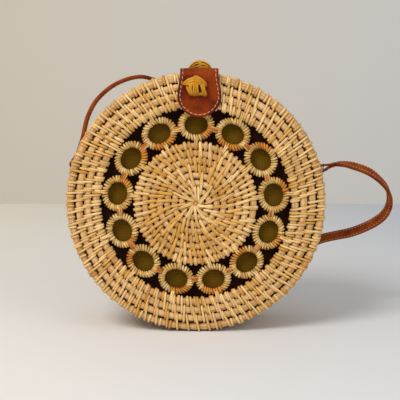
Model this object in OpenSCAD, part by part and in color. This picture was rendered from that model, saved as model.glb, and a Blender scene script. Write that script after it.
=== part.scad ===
/* [Coiled rows] */
// Outside diameter of the bag across the side wall
bag_d = 202; // [180:1:230]
// Thickness of one coiled row
row_d = 6.8; // [6:0.1:8]
// How deep neighbouring rows of one coil bed into each other
row_bite = 0.3; // [0.1:0.05:0.6]
// Rows round the side wall
wall_rows = 7; // [5:1:9]
// How far the corner rows of both faces step in from the wall
corner_inset = 1.1; // [0.5:0.1:2]
// Depth of the flat that the bag stands on
foot_cut = 0.5; // [0.3:0.1:1]

/* [Lid] */
// Rows in the solid band round the lid
band_rows = 4; // [3:1:5]
// Wrapped rings between the band and the middle
ring_count = 13; // [11:1:14]
// Thickness of the wrapped cane of a ring
ring_t = 5.6; // [4:0.1:6]
// Height of a ring from the band towards the middle
ring_h = 25.5; // [22:0.5:27]
// Gap left between two neighbouring rings
ring_gap = 0.4; // [0.2:0.1:1]
// How far the ring circle is turned clockwise
ring_turn = 0.5; // [-5:0.5:5]
// Thickness of one coiled row of the middle
middle_row_d = 5.9; // [5:0.1:6.5]
// Width of the lashing between two rings
ring_tie_w = 3.6; // [2:0.1:5]
// Width of the lashing from a ring to the band
outer_tie_w = 4.2; // [2:0.1:6]
// Width of the lashing from a ring to the middle
inner_tie_w = 3.8; // [2:0.1:5]
// Thickness of the cane strip in every lashing
tie_t = 0.7; // [0.5:0.05:1]

/* [Hinge] */
// Cane loops that the lid swings on
hinge_loops = 3; // [2:1:3]
// Distance between two hinge loops
hinge_pitch = 11; // [9:0.5:13]
// Width of one hinge loop
hinge_loop_w = 5; // [3:0.1:6]
// Diameter of the necks that the loops turn on
hinge_pin_d = 4; // [3:0.1:4.2]
// Running clearance between a loop and its neck
hinge_play = 0.3; // [0.2:0.05:0.4]

/* [Linings] */
// Thickness of the cloth lining
lining_t = 1; // [0.6:0.1:2]

/* [Leather flap] */
// Thickness of the flap leather
leather_t = 2.4; // [1.8:0.1:3]
// Greatest width of the flap
flap_w = 33.5; // [28:0.5:40]
// Width of the flap at its folds
flap_neck_w = 29; // [24:0.5:34]
// Length of the flap down the front of the lid
flap_front_l = 36; // [30:0.5:44]
// Length of the flap down the back
flap_back_l = 34; // [26:0.5:44]
// Middle radius of the leather where it folds
flap_fold_r = 5; // [4:0.1:8]
// How far the flap sits right of the middle
flap_x = 3; // [0:0.5:6]
// Diameter of a rivet head
rivet_head_d = 7; // [5:0.1:9]
// Height of a rivet head
rivet_head_h = 1.4; // [0.8:0.1:2]
// Diameter of a rivet shank
rivet_shank_d = 2.2; // [1.5:0.1:3]

/* [Cane knots] */
// Length of the front knot
knot_l = 21.4; // [18:0.2:24]
// Height of the front knot above the leather
knot_h = 5.6; // [4:0.1:8]
// Length of the top knot
top_knot_l = 18.4; // [15:0.2:22]
// Height of the top knot above the leather
top_knot_h = 6.6; // [5:0.1:9]
// Diameter of the pin that a knot sits on
knot_pin_d = 3.2; // [2:0.1:4]
// Tilt of the front knot, clockwise
knot_tilt = 21; // [0:1:60]
// Length of the slit that the front knot is buttoned through
slit_l = 14; // [12:0.5:16]
// Place of the top knot behind the front fold
top_knot_back = 31; // [27:1:45]

/* [Shoulder strap] */
// Width of the strap
strap_w = 8; // [6:0.5:12]
// Thickness of the strap, two plies sewn together
strap_t = 3; // [2:0.1:4]
// Thickness of the cane loops that hold the strap
loop_t = 3.6; // [3:0.1:4]
// Height of the middle of a cane loop above the wall
loop_rise = 4.3; // [4:0.1:6]
// Angle of the left loop from the top
loop_angle_left = 75; // [60:1:80]
// Angle of the right loop from the top
loop_angle_right = 77; // [60:1:85]
// Length of the sewn end from the loop to the free strap
strap_end_l = 12; // [10:0.5:16]

/* [Hidden] */

// Gap between pieces that are sewn to each other
seam_gap = 0.1;
// Gap between pieces that touch or run past each other
seat_gap = 0.3;
// Overrun of a cut past the surface that it opens
cut_over = 1;
round_fn = 96;
tube_fn = 28;

row_r = row_d / 2;
row_step = row_d - row_bite;
wall_r = bag_d / 2 - row_r;
face_r = wall_r - corner_inset;
axis_z = bag_d / 2 - foot_cut;

// Depths of the rows, from the seam towards both faces
wall_front_y = -2 * row_step;
wall_back_y = wall_front_y + (wall_rows - 1) * row_step;
rim_pitch = row_d + seam_gap;
mouth_y = wall_front_y - rim_pitch;
lid_rim_y = mouth_y - row_d - seat_gap;
corner_depth = sqrt(rim_pitch * rim_pitch - corner_inset * corner_inset);
band_y = lid_rim_y - corner_depth;
back_y = wall_back_y + corner_depth;

// Openwork of the lid
band_inner_row_r = face_r - (band_rows - 1) * row_step;
band_edge_r = band_inner_row_r - row_r;
lash_gap = 0.2;
ring_r = ring_t / 2;
ring_pitch_r = band_edge_r - lash_gap - ring_h / 2;
ring_step_a = 360 / ring_count;
ring_w = 2 * ring_pitch_r * sin(ring_step_a / 2) - ring_gap;
ring_half_w = ring_w / 2 - ring_r;
ring_half_h = ring_h / 2 - ring_r;
ring_end_share = 0.855;
ring_end_r = ring_half_h * ring_end_share;
ring_end_x = ring_half_w - ring_end_r;
ring_side_r = (ring_end_x * ring_end_x + ring_half_h * ring_half_h - ring_end_r * ring_end_r)
    / (2 * (ring_half_h - ring_end_r));
ring_side_y = ring_side_r - ring_half_h;
ring_join_a = atan2(ring_side_y, ring_end_x);
join_over_a = 0.5;
join_step = 0.05;
middle_bite = 0.2;
middle_step = middle_row_d - middle_bite;
middle_row_r = middle_row_d / 2;
middle_edge_r = band_edge_r - ring_h - 2 * lash_gap;
middle_outer_r = middle_edge_r - middle_row_r;

// Rows from the edge of a disc to its middle, and the step that fills it evenly
core_share = 0.86;
function disc_rows(outer_r, step) = ceil(outer_r / step - core_share) + 1;
function disc_step(outer_r, step) = outer_r / (disc_rows(outer_r, step) - 1 + core_share);
middle_rows = disc_rows(middle_outer_r, middle_step);
middle_pitch = disc_step(middle_outer_r, middle_step);
back_rows = disc_rows(face_r, row_step);
back_pitch = disc_step(face_r, row_step);

// A lashing goes round a ring and one row, and is pierced through the flank of the next row
tie_play = 0.3;
function slot_near(half, step) =
    (step * step + (half + tie_play) * (half + tie_play) - half * half) / (2 * step) - tie_play;
function slot_far(half) = half + tie_t + 2 * tie_play;

hinge_y = mouth_y;
hinge_z = axis_z - wall_r;
hinge_bore_r = hinge_pin_d / 2 + hinge_play;
hinge_loop_t = 0.6;
hinge_slot_w = hinge_loop_w + 2 * hinge_play;

// How far a lashing stands off the middle of its row
lash_r = row_r + tie_play + tie_t;

lining_r = wall_r - row_r - seat_gap;
lid_lining_y = band_y + lash_r + seam_gap;
back_lining_y = back_y - row_r - seat_gap - lining_t;

// Leather over the top of the bag
leather_r = leather_t / 2;
flap_z = bag_d - foot_cut + seat_gap + leather_r;
flap_front_y = band_y - lash_r - seam_gap - leather_r;
flap_back_y = back_y + row_r + seat_gap + leather_r;
flap_axis_y = mouth_y - row_r / 2;
flap_split = 0.3;
rivet_rows = [1, 3];
knot_row_r = face_r - row_step;
knot_x = -flap_x / 5;
pin_play = 0.2;
// Corners of a knot, seen from above with its two points at the left and right
knot_corners = [
    [-9.8, -2.2], [-4.2, 6.3], [0.5, 8.1], [6.3, 6.5], [6.6, 4.1],
    [11.6, -2.2], [8.2, -4.5], [-1.6, -6.9], [-4.2, -3.7]
];
knot_corner_l = knot_corners[5][0] - knot_corners[0][0];
top_knot_y = flap_front_y + top_knot_back;

// Cane loops for the strap
loop_y = wall_front_y + 5 * row_step;
loop_r = loop_t / 2;
loop_bend_r = 2.5;
loop_seat = 3;
ply_t = strap_t / 2;
strap_bore_r = loop_r + seat_gap;
end_lean_left = 20;
end_lean_right = 73;

// Free strap: places chosen by hand, each with the way its width points
strap_left = [
    [[-94, 19.5, 150], [0, 1, 0]],
    [[-92.2, 20, 159], [0, 1, 0]],
    [[-89.5, 20.5, 168], [0, 1, 0]],
    [[-84.5, 22, 178], [0, 1, 0]],
    [[-77.5, 23.5, 186], [0, 1, 0]],
    [[-68.5, 26, 193], [0, 1, 0]],
    [[-58, 29, 197.8], [0, 1, 0]],
    [[-46.5, 33, 200], [0, 1, 0]],
    [[-35, 39, 197.5], [0, 1, 0]],
    [[-21, 44, 193], [0, 1, 0]],
    [[-12, 47, 180], [0, 1, 0]],
    [[-7, 49, 162], [0, 1, 0]],
    [[-5, 50, 143], [0, 1, 0]],
    [[-5, 52, 123], [0, 1, 0]],
    [[-7, 54, 103], [0, 1, 0]],
    [[-11, 56, 83], [0, 1, 0]],
    [[-17, 58, 64], [0, 1, 0]],
    [[-23, 59, 46], [0, 1, 0]],
    [[-27, 60, 28], [0, 1, 0]],
    [[-22, 61, 11], [0, 1, 0]],
    [[-7, 62, 2], [0, 1, 0]]
];
coil_at = [12, 108];
coil_outer_r = 46;
coil_turns = 2;
coil_step_a = 30;
coil_pitch = 5;
strap_right = [
    [[34, 75, 9], [0, 0, 1]],
    [[51, 71.5, 17], [0, 0, 1]],
    [[66, 68.5, 29], [-0.1, 0.1, 1]],
    [[80, 65, 42], [-0.2, 0.1, 1]],
    [[94, 61.5, 53], [-0.2, 0.1, 1]],
    [[108.5, 58, 60], [-0.1, 0.2, 1]],
    [[121, 55, 63.5], [-0.1, 0.2, 1]],
    [[133, 52, 66.5], [-0.2, 0.3, 0.95]],
    [[143.5, 49, 71], [-0.3, 0.4, 0.9]],
    [[153, 46, 76.5], [-0.4, 0.5, 0.7]],
    [[159.5, 43, 82.5], [-0.5, 0.7, 0.5]],
    [[163, 40, 89.5], [-0.4, 0.9, 0.3]],
    [[163.3, 36, 97.5], [-0.2, 1, 0.3]],
    [[160.5, 32, 106], [0, 0.9, 0.5]],
    [[154, 28, 113.5], [0, 0.8, 0.6]],
    [[144, 25, 121], [0, 0.7, 0.7]],
    [[131, 22, 126], [0, 0.8, 0.6]],
    [[121, 20, 128], [0, 1, 0.3]]
];

cane = "burlywood";
cane_dark = "peru";
cloth = "darkolivegreen";
leather = "sienna";

// Places a shape on the clock face of the bag, with +Y outwards and +Z to the front
module at_clock(angle, depth_y) {
    translate([0, depth_y, axis_z]) rotate([90, angle, 0]) children();
}

module row(centre_r, tube_r) {
    rotate_extrude($fn = round_fn) translate([centre_r, 0]) circle(tube_r, $fn = tube_fn);
}

// A full row of the wall with its bottom cut flat
module standing_row(depth_y) {
    difference() {
        at_clock(0, depth_y) row(wall_r, row_r);
        translate([-bag_d / 2, depth_y - row_d, -row_d]) cube([bag_d, 2 * row_d, row_d]);
    }
}

module arc_tube(bend_r, from_a, to_a, tube_r) {
    rotate([0, 0, from_a]) rotate_extrude(angle = to_a - from_a, $fn = round_fn)
        translate([bend_r, 0]) circle(tube_r, $fn = tube_fn);
}

// A closed belt round two round bars that lie side by side
module belt_shape(bar_1, bar_2, dist) {
    lean = acos((bar_1 - bar_2) / dist);
    circle(bar_1, $fn = round_fn);
    translate([0, dist]) circle(bar_2, $fn = round_fn);
    polygon([
        [bar_1 * sin(lean), bar_1 * cos(lean)],
        [bar_2 * sin(lean), dist + bar_2 * cos(lean)],
        [-bar_2 * sin(lean), dist + bar_2 * cos(lean)],
        [-bar_1 * sin(lean), bar_1 * cos(lean)]
    ]);
}

module belt(bar_1, bar_2, dist, wall, width) {
    linear_extrude(width, center = true) difference() {
        belt_shape(bar_1 + wall, bar_2 + wall, dist);
        belt_shape(bar_1, bar_2, dist);
    }
}

// Straight necks that the hinge loops turn on, cut out of a coiled row
module hinge_necks(depth_y) {
    for (i = [0 : hinge_loops - 1])
        translate([(i - (hinge_loops - 1) / 2) * hinge_pitch, depth_y, hinge_z])
            rotate([0, 90, 0]) difference() {
                cylinder(hinge_slot_w, r = row_d, center = true, $fn = round_fn);
                cylinder(hinge_slot_w + 2 * cut_over, d = hinge_pin_d, center = true, $fn = round_fn);
            }
}

module pin_hole(at, pin_d, reach) {
    translate(at) rotate([90, 0, 0])
        cylinder(reach, r = pin_d / 2 + pin_play, center = true, $fn = round_fn);
}

module back_panel() {
    color(cane) difference() {
        at_clock(0, back_y) {
            rotate_extrude($fn = round_fn) for (k = [0 : back_rows - 1])
                translate([face_r - k * back_pitch, 0]) circle(row_r, $fn = tube_fn);
            sphere(row_r, $fn = tube_fn);
        }
        for (k = rivet_rows)
            pin_hole([flap_x, back_y + row_r, axis_z + face_r - k * back_pitch], rivet_shank_d, row_d);
    }
}

module loop_sockets(angle) {
    for (side = [-1, 1])
        translate([0, loop_y + side * row_step, axis_z]) rotate([0, angle, 0])
            translate([0, 0, wall_r + row_r - loop_seat])
                cylinder(loop_seat + cut_over, r = loop_r + pin_play, $fn = round_fn);
}

module side_wall() {
    color(cane) difference() {
        union() for (i = [0 : wall_rows - 1]) standing_row(wall_front_y + i * row_step);
        loop_sockets(-loop_angle_left);
        loop_sockets(loop_angle_right);
    }
}

module rim(depth_y) {
    color(cane) difference() {
        standing_row(depth_y);
        hinge_necks(depth_y);
    }
}

module mouth_rim() {
    rim(mouth_y);
}

module lid_rim() {
    rim(lid_rim_y);
}

module wall_lining() {
    color(cloth) translate([0, mouth_y, axis_z]) rotate([-90, 0, 0]) difference() {
        cylinder(back_lining_y - seam_gap - mouth_y, r = lining_r, $fn = round_fn);
        translate([0, 0, -cut_over])
            cylinder(back_lining_y - mouth_y + 2 * cut_over, r = lining_r - lining_t, $fn = round_fn);
    }
}

module lining_disc(front_y) {
    color(cloth) translate([0, front_y, axis_z]) rotate([-90, 0, 0])
        cylinder(lining_t, r = lining_r, $fn = round_fn);
}

module back_lining() {
    lining_disc(back_lining_y);
}

module lid_lining() {
    lining_disc(lid_lining_y);
}

// Slots that the lashings run through; side is 1 towards the edge, -1 towards the middle
module tie_slots(side, row_at, half, step, width) {
    near = slot_near(half, step);
    far = slot_far(half);
    for (i = [0 : ring_count - 1])
        at_clock(ring_turn + i * ring_step_a, band_y) translate([0, row_at + side * (near + far) / 2, 0])
            cube([width + 2 * tie_play, far - near, 2 * row_d], center = true);
}

module lid_band() {
    color(cane) difference() {
        at_clock(0, band_y) rotate_extrude($fn = round_fn) for (k = [0 : band_rows - 1])
            translate([face_r - k * row_step, 0]) circle(row_r, $fn = tube_fn);
        tie_slots(1, band_inner_row_r, row_r, row_step, outer_tie_w);
        pin_hole([knot_x, band_y - row_r, axis_z + knot_row_r], knot_pin_d, row_d);
    }
}

module lid_middle() {
    color(cane) difference() {
        at_clock(0, band_y) {
            rotate_extrude($fn = round_fn) for (k = [0 : middle_rows - 1])
                translate([middle_outer_r - k * middle_pitch, 0]) circle(middle_row_r, $fn = tube_fn);
            sphere(middle_row_r, $fn = tube_fn);
        }
        tie_slots(-1, middle_outer_r, middle_row_r, middle_pitch, inner_tie_w);
    }
}

// One wrapped ring: an oval of four tangent arcs, the flatter two a hair slimmer
module ring(number) {
    if (number <= ring_count)
        color(cane) at_clock(ring_turn + (number - 1) * ring_step_a, band_y)
            translate([0, ring_pitch_r, 0]) union() {
                for (half = [0, 180]) rotate([0, 0, half]) {
                    translate([ring_end_x, 0, 0])
                        arc_tube(ring_end_r, -ring_join_a - join_over_a, ring_join_a + join_over_a, ring_r);
                    translate([0, -ring_side_y, 0])
                        arc_tube(ring_side_r, ring_join_a, 180 - ring_join_a, ring_r - join_step);
                }
            }
}

// A lashing round two neighbouring rings, where their end arcs come closest
module ring_ties() {
    bar_r = ring_r + tie_play;
    half_a = ring_step_a / 2;
    apart = 2 * (ring_pitch_r * sin(half_a) - ring_end_x * cos(half_a) - ring_end_r);
    color(cane_dark) for (i = [0 : ring_count - 1])
        at_clock(ring_turn + (i + 1 / 2) * ring_step_a, band_y)
            translate([-apart / 2, ring_pitch_r * cos(half_a) + ring_end_x * sin(half_a), 0])
                rotate([90, 0, 0]) rotate([0, 0, -90])
                    belt(bar_r, bar_r, apart, tie_t, ring_tie_w);
}

// A lashing in the plane that runs from the middle of the lid to its edge
module radial_tie(angle, side, row_at, half, width) {
    ring_at = ring_pitch_r + side * ring_half_h;
    at_clock(angle, band_y) translate([0, ring_at, 0])
        rotate([0, side > 0 ? 90 : -90, side > 0 ? 0 : 180])
            belt(ring_r + tie_play, half + tie_play, abs(row_at - ring_at), tie_t, width);
}

module outer_ties() {
    color(cane) for (i = [0 : ring_count - 1])
        radial_tie(ring_turn + i * ring_step_a, 1, band_inner_row_r, row_r, outer_tie_w);
}

module inner_ties() {
    color(cane) for (i = [0 : ring_count - 1])
        radial_tie(ring_turn + i * ring_step_a, -1, middle_outer_r, middle_row_r, inner_tie_w);
}

module hinge_ties() {
    color(cane_dark) for (i = [0 : hinge_loops - 1])
        translate([(i - (hinge_loops - 1) / 2) * hinge_pitch, hinge_y, hinge_z])
            rotate([0, 90, 0]) rotate([0, 0, 180])
                belt(hinge_bore_r, hinge_bore_r, mouth_y - lid_rim_y, hinge_loop_t, hinge_loop_w);
}

// Outline of one leather end, from the fold at 0 down to the round tip
module flap_outline(length) {
    tip_r = flap_w / 2;
    round_at = length - flap_fold_r - tip_r;
    translate([0, -round_at]) circle(tip_r, $fn = round_fn);
    polygon([
        [-flap_neck_w / 2, 0], [flap_neck_w / 2, 0],
        [tip_r, -round_at], [-tip_r, -round_at]
    ]);
}

module flap_fold() {
    rotate([0, -90, 0]) rotate_extrude(angle = 90, $fn = round_fn)
        translate([flap_fold_r, 0]) square([leather_t, flap_neck_w], center = true);
}

// Leather that runs from the split over one fold and down a face; side is -1 in front, 1 behind
module flap_half(from_y, face_y, side, length) {
    fold_y = face_y - side * flap_fold_r;
    translate([flap_x, 0, 0]) {
        translate([-flap_neck_w / 2, min(from_y, fold_y), flap_z - leather_r])
            cube([flap_neck_w, abs(from_y - fold_y), leather_t]);
        translate([0, fold_y, flap_z - flap_fold_r]) {
            if (side < 0) mirror([0, 1, 0]) flap_fold();
            else flap_fold();
            translate([0, side * flap_fold_r, 0]) rotate([90, 0, 0])
                linear_extrude(leather_t, center = true) flap_outline(length);
        }
    }
}

module flap_root() {
    color(leather) difference() {
        flap_half(flap_axis_y + flap_split / 2, flap_back_y, 1, flap_back_l);
        for (k = rivet_rows)
            pin_hole([flap_x, flap_back_y, axis_z + face_r - k * back_pitch], rivet_shank_d, row_d);
        translate([flap_x, top_knot_y, flap_z])
            cylinder(row_d, r = knot_pin_d / 2 + pin_play, center = true, $fn = round_fn);
    }
}

module flap_tongue() {
    color(leather) difference() {
        flap_half(flap_axis_y - flap_split / 2, flap_front_y, -1, flap_front_l);
        translate([knot_x, flap_front_y, axis_z + knot_row_r]) rotate([90, knot_tilt, 0])
            slit();
    }
}

module slit() {
    end_r = knot_pin_d / 2 + pin_play;
    half_l = slit_l / 2 - end_r;
    linear_extrude(row_d, center = true) {
        square([2 * half_l, 2 * end_r], center = true);
        for (side = [-1, 1]) translate([side * half_l, 0]) circle(end_r, $fn = round_fn);
    }
}

module flap_rivets() {
    head_y = flap_back_y + leather_r;
    ball_r = (rivet_head_d * rivet_head_d / 4 + rivet_head_h * rivet_head_h) / (2 * rivet_head_h);
    color("darkgoldenrod") for (k = rivet_rows)
        translate([flap_x, head_y + seam_gap, axis_z + face_r - k * back_pitch]) rotate([-90, 0, 0]) {
            intersection() {
                translate([0, 0, rivet_head_h - ball_r]) sphere(ball_r, $fn = round_fn);
                cylinder(rivet_head_h, d = rivet_head_d, $fn = round_fn);
            }
            translate([0, 0, back_y - head_y])
                cylinder(head_y - back_y, d = rivet_shank_d, $fn = round_fn);
        }
}

// One flat fold of a knot: length and width as shares of the knot's length
module knot_fold(length, share_l, share_w, turn, low, high) {
    translate([0, 0, low]) rotate([0, 0, turn])
        linear_extrude(high - low) square([share_l * length, share_w * length], center = true);
}

// A knot of folded flat cane on its pin; the base lies at z = 0
module knot(length, height, pin_l) {
    color("goldenrod") union() {
        linear_extrude(height * 0.45) scale(length / knot_corner_l) polygon(knot_corners);
        knot_fold(length, 0.62, 0.34, 52, height * 0.2, height * 0.7);
        knot_fold(length, 0.56, 0.3, -48, height * 0.15, height * 0.85);
        knot_fold(length, 0.5, 0.26, 4, height * 0.1, height);
        translate([0, 0, -pin_l]) cylinder(pin_l + height / 4, d = knot_pin_d, $fn = round_fn);
    }
}

module front_knot() {
    base_y = flap_front_y - leather_r - seat_gap;
    translate([knot_x, base_y, axis_z + knot_row_r]) rotate([90, knot_tilt, 0])
        knot(knot_l, knot_h, band_y - base_y - seam_gap);
}

module top_knot() {
    base_z = flap_z + leather_r + seam_gap;
    translate([flap_x, top_knot_y, base_z])
        knot(top_knot_l, top_knot_h, base_z - flap_z + leather_r);
}

// A cane loop stands on two rows of the wall, with its feet in sockets
module strap_loop(angle) {
    half = row_step;
    side_l = half - loop_bend_r;
    foot_l = loop_seat - pin_play + loop_rise - loop_bend_r;
    color(cane_dark) translate([0, loop_y, axis_z]) rotate([0, angle, 0])
        translate([0, 0, wall_r + row_r + loop_rise]) {
            rotate([90, 0, 0]) cylinder(2 * side_l, r = loop_r, center = true, $fn = round_fn);
            for (side = [0, 180]) rotate([0, 0, side]) translate([0, side_l, -loop_bend_r]) {
                rotate([90, 0, 90]) arc_tube(loop_bend_r, 0, 90, loop_r);
                translate([0, loop_bend_r, -foot_l]) cylinder(foot_l, r = loop_r, $fn = round_fn);
            }
        }
}

module strap_loop_left() {
    strap_loop(-loop_angle_left);
}

module strap_loop_right() {
    strap_loop(loop_angle_right);
}

function loop_at(angle) = let (r = wall_r + row_r + loop_rise)
    [r * sin(angle), loop_y, axis_z + r * cos(angle)];
function end_at(angle, lean) = loop_at(angle) + strap_end_l * [sin(lean), 0, cos(lean)];

// The inner ply of the strap goes round the cane loop and is sewn back
module strap_end(angle, lean) {
    eye_r = strap_bore_r + ply_t;
    color(leather) translate(loop_at(angle)) rotate([90, lean, 0])
        linear_extrude(strap_w, center = true) difference() {
            union() {
                belt_shape(eye_r, ply_t, strap_end_l * 0.4);
                translate([-ply_t, 0]) square([strap_t, strap_end_l]);
            }
            circle(strap_bore_r, $fn = round_fn);
        }
}

module strap_end_left() {
    strap_end(-loop_angle_left, end_lean_left);
}

module strap_end_right() {
    strap_end(loop_angle_right, end_lean_right);
}

// The strap comes down flat and stands on its edge after the first quarter turn
coil_places = [
    for (i = [0 : 360 * coil_turns / coil_step_a - 1])
        let (
            a = i * coil_step_a,
            r = coil_outer_r - coil_pitch * a / 360,
            tilt = min(a, 90),
            out = [sin(a), -cos(a), 0]
        )
            [
                [coil_at[0], coil_at[1], strap_w / 2 * sin(tilt) + strap_t / 2 * cos(tilt)] + r * out,
                -out * cos(tilt) + [0, 0, sin(tilt)]
            ]
];
strap_route = concat(
    [[end_at(-loop_angle_left, end_lean_left), [0, 1, 0]]],
    strap_left, coil_places, strap_right,
    [[end_at(loop_angle_right, end_lean_right), [0, 1, 0]]]
);
strap_points = [for (p = strap_route) p[0]];
last_point = len(strap_points) - 1;

function unit(v) = v / norm(v);
function heading(i) =
    i == 0 ? [sin(end_lean_left), 0, cos(end_lean_left)]
    : i == last_point ? -[sin(end_lean_right), 0, cos(end_lean_right)]
    : unit(unit(strap_points[i + 1] - strap_points[i]) + unit(strap_points[i] - strap_points[i - 1]));
function total(v, i = 0) = i < len(v) - 1 ? norm(v[i + 1] - v[i]) + total(v, i + 1) : 0;

// Half section of the strap with its edges broken
edge_cut = 0.6;
section = [
    [strap_w / 2, strap_t / 2 - edge_cut], [strap_w / 2 - edge_cut, strap_t / 2],
    [-strap_w / 2 + edge_cut, strap_t / 2], [-strap_w / 2, strap_t / 2 - edge_cut],
    [-strap_w / 2, -strap_t / 2 + edge_cut], [-strap_w / 2 + edge_cut, -strap_t / 2],
    [strap_w / 2 - edge_cut, -strap_t / 2], [strap_w / 2, -strap_t / 2 + edge_cut]
];

module shoulder_strap() {
    sides = len(section);
    rings = [
        for (i = [0 : last_point])
            let (t = heading(i), w0 = strap_route[i][1], w = unit(w0 - (w0 * t) * t), n = cross(t, w))
                [for (s = section) strap_points[i] + w * s[0] + n * s[1]]
    ];
    faces = concat(
        [[for (k = [0 : sides - 1]) k]],
        [for (i = [0 : last_point - 1]) for (k = [0 : sides - 1]) let (m = (k + 1) % sides)
            each [
                [i * sides + k, (i + 1) * sides + k, (i + 1) * sides + m],
                [i * sides + k, (i + 1) * sides + m, i * sides + m]
            ]],
        [[for (k = [sides - 1 : -1 : 0]) last_point * sides + k]]
    );
    color(leather) polyhedron([for (r = rings) each r], faces);
    echo(strap_length = total(strap_points) + 2 * strap_end_l, places = last_point + 1);
}

back_panel();
side_wall();
mouth_rim();
wall_lining();
back_lining();
flap_root();
flap_rivets();
top_knot();
strap_loop_left();
strap_loop_right();
strap_end_left();
strap_end_right();
shoulder_strap();
lid_rim();
lid_band();
lid_middle();
ring_ties();
outer_ties();
inner_ties();
lid_lining();
front_knot();
hinge_ties();
ring(1);  // ring_01
ring(2);  // ring_02
ring(3);  // ring_03
ring(4);  // ring_04
ring(5);  // ring_05
ring(6);  // ring_06
ring(7);  // ring_07
ring(8);  // ring_08
ring(9);  // ring_09
ring(10);  // ring_10
ring(11);  // ring_11
ring(12);  // ring_12
ring(13);  // ring_13
flap_tongue();
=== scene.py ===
# Round coiled cane bag with a ring openwork lid, a leather flap and a long strap
import random
from bisect import bisect
from math import acos, atan2, cos, exp, hypot, pi, radians, sin, sqrt

import bmesh
import bpy
from mathutils import Matrix, Vector, noise


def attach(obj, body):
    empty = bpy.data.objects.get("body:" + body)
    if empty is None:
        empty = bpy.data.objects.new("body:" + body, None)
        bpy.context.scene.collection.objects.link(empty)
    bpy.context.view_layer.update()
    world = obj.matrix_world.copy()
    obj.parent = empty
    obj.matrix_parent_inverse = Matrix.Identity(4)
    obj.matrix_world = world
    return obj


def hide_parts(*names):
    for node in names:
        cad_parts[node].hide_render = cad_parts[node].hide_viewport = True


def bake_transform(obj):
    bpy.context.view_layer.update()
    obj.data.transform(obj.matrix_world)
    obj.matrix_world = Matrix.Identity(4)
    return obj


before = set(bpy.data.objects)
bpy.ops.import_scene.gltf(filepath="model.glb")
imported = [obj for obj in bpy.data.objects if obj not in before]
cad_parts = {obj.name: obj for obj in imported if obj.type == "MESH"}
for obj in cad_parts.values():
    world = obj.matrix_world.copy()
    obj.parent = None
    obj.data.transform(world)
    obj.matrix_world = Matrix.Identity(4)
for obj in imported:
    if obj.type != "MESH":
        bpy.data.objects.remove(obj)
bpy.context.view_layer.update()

# Sizes that several pieces share, all in metres as everywhere in this file
bag = {
    "axisZ": 0.1005,        # middle of the round faces
    "rowStep": 0.0065,      # from one coiled row to the next
    "rowHalf": 0.0034,      # half the thickness of a row
    "wallRadius": 0.0976,
    "bandRadii": [0.0965, 0.09, 0.0835, 0.077],
    "faceDepth": 0.03381,   # front of the band's rows, in front of the middle of the bag
    "rimDepths": [0.027, 0.0199],
    "wallDepths": [0.013, 0.0065, 0, -0.0065, -0.013, -0.0195, -0.026],
    "backDepth": -0.03281,
    "ringCount": 13,
    "ringTurn": 0.5,
}


def paint(code, alpha=1.0):
    # a colour as it is written on a screen, turned to light values
    channels = [int(code[i:i + 2], 16) / 255 for i in (1, 3, 5)]
    return tuple(c / 12.92 if c <= 0.04045 else ((c + 0.055) / 1.055) ** 2.4 for c in channels) + (alpha,)


def mixed(first, second, share):
    return tuple(a + (b - a) * share for a, b in zip(first, second))


def shaded(colour, factor):
    return tuple(c * factor for c in colour[:3]) + (1,)


def clockFrame(angle, y=0.0):
    # X runs clockwise round the front face, Y outwards from its middle, Z to the front
    a = radians(angle)
    turn = Matrix(((cos(a), sin(a), 0), (0, 0, -1), (-sin(a), cos(a), 0))).to_4x4()
    return Matrix.Translation((0, y, bag["axisZ"])) @ turn


# --- meshes


def sweep(bm, section, places, closed=False):
    # draws a closed section along a row of places, with the extrude tool
    corners = [bm.verts.new(places[0] @ Vector((p[0], p[1], 0))) for p in section]
    edges = [bm.edges.new((a, b)) for a, b in zip(corners, corners[1:] + corners[:1])]
    first = list(edges)
    for before, after in zip(places, places[1:]):
        grown = bmesh.ops.extrude_edge_only(bm, edges=edges)["geom"]
        corners = [g for g in grown if isinstance(g, bmesh.types.BMVert)]
        edges = [g for g in grown if isinstance(g, bmesh.types.BMEdge)
                 and all(v in corners for v in g.verts)]
        bmesh.ops.transform(bm, matrix=after @ before.inverted(), verts=corners)
    if closed:
        bmesh.ops.bridge_loops(bm, edges=first + edges)
    else:
        bmesh.ops.edgeloop_fill(bm, edges=first)
        bmesh.ops.edgeloop_fill(bm, edges=edges)


def alongPath(points, wides, closed=False):
    # places on a path: X along its width, Z forward
    places = []
    for i, p in enumerate(points):
        before = points[i - 1] if i or closed else p
        after = points[(i + 1) % len(points)] if i < len(points) - 1 or closed else p
        forward = (after - before).normalized()
        wide = wides[i] - wides[i].dot(forward) * forward
        wide.normalize()
        up = forward.cross(wide)
        places.append(Matrix.Translation(p) @ Matrix((wide, up, forward)).transposed().to_4x4())
    return places


def strip(width, thick):
    # section of a split cane strip: flat below, rounded on top
    w, t = width / 2, thick
    return [(-w, 0), (w, 0), (w * 0.94, t * 0.5), (w * 0.55, t * 0.88), (0, t),
            (-w * 0.55, t * 0.88), (-w * 0.94, t * 0.5)]


def squareRound(phi, half, power=2.4):
    # reach of a row's section, a circle that is pressed a little flat on its sides
    c, s = abs(cos(phi)), abs(sin(phi))
    return half / (c ** power + s ** power) ** (1 / power)


def newBm():
    bm = bmesh.new()
    layers = bm.verts.layers
    return bm, layers.float_color.new("tint"), layers.float_vector.new("grain")


def addTo(whole, part):
    # joins a small mesh to a large one, on which the operators would be slow
    spare = bpy.data.meshes.new("spare")
    part.to_mesh(spare)
    part.free()
    whole.from_mesh(spare)
    bpy.data.meshes.remove(spare)


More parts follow.
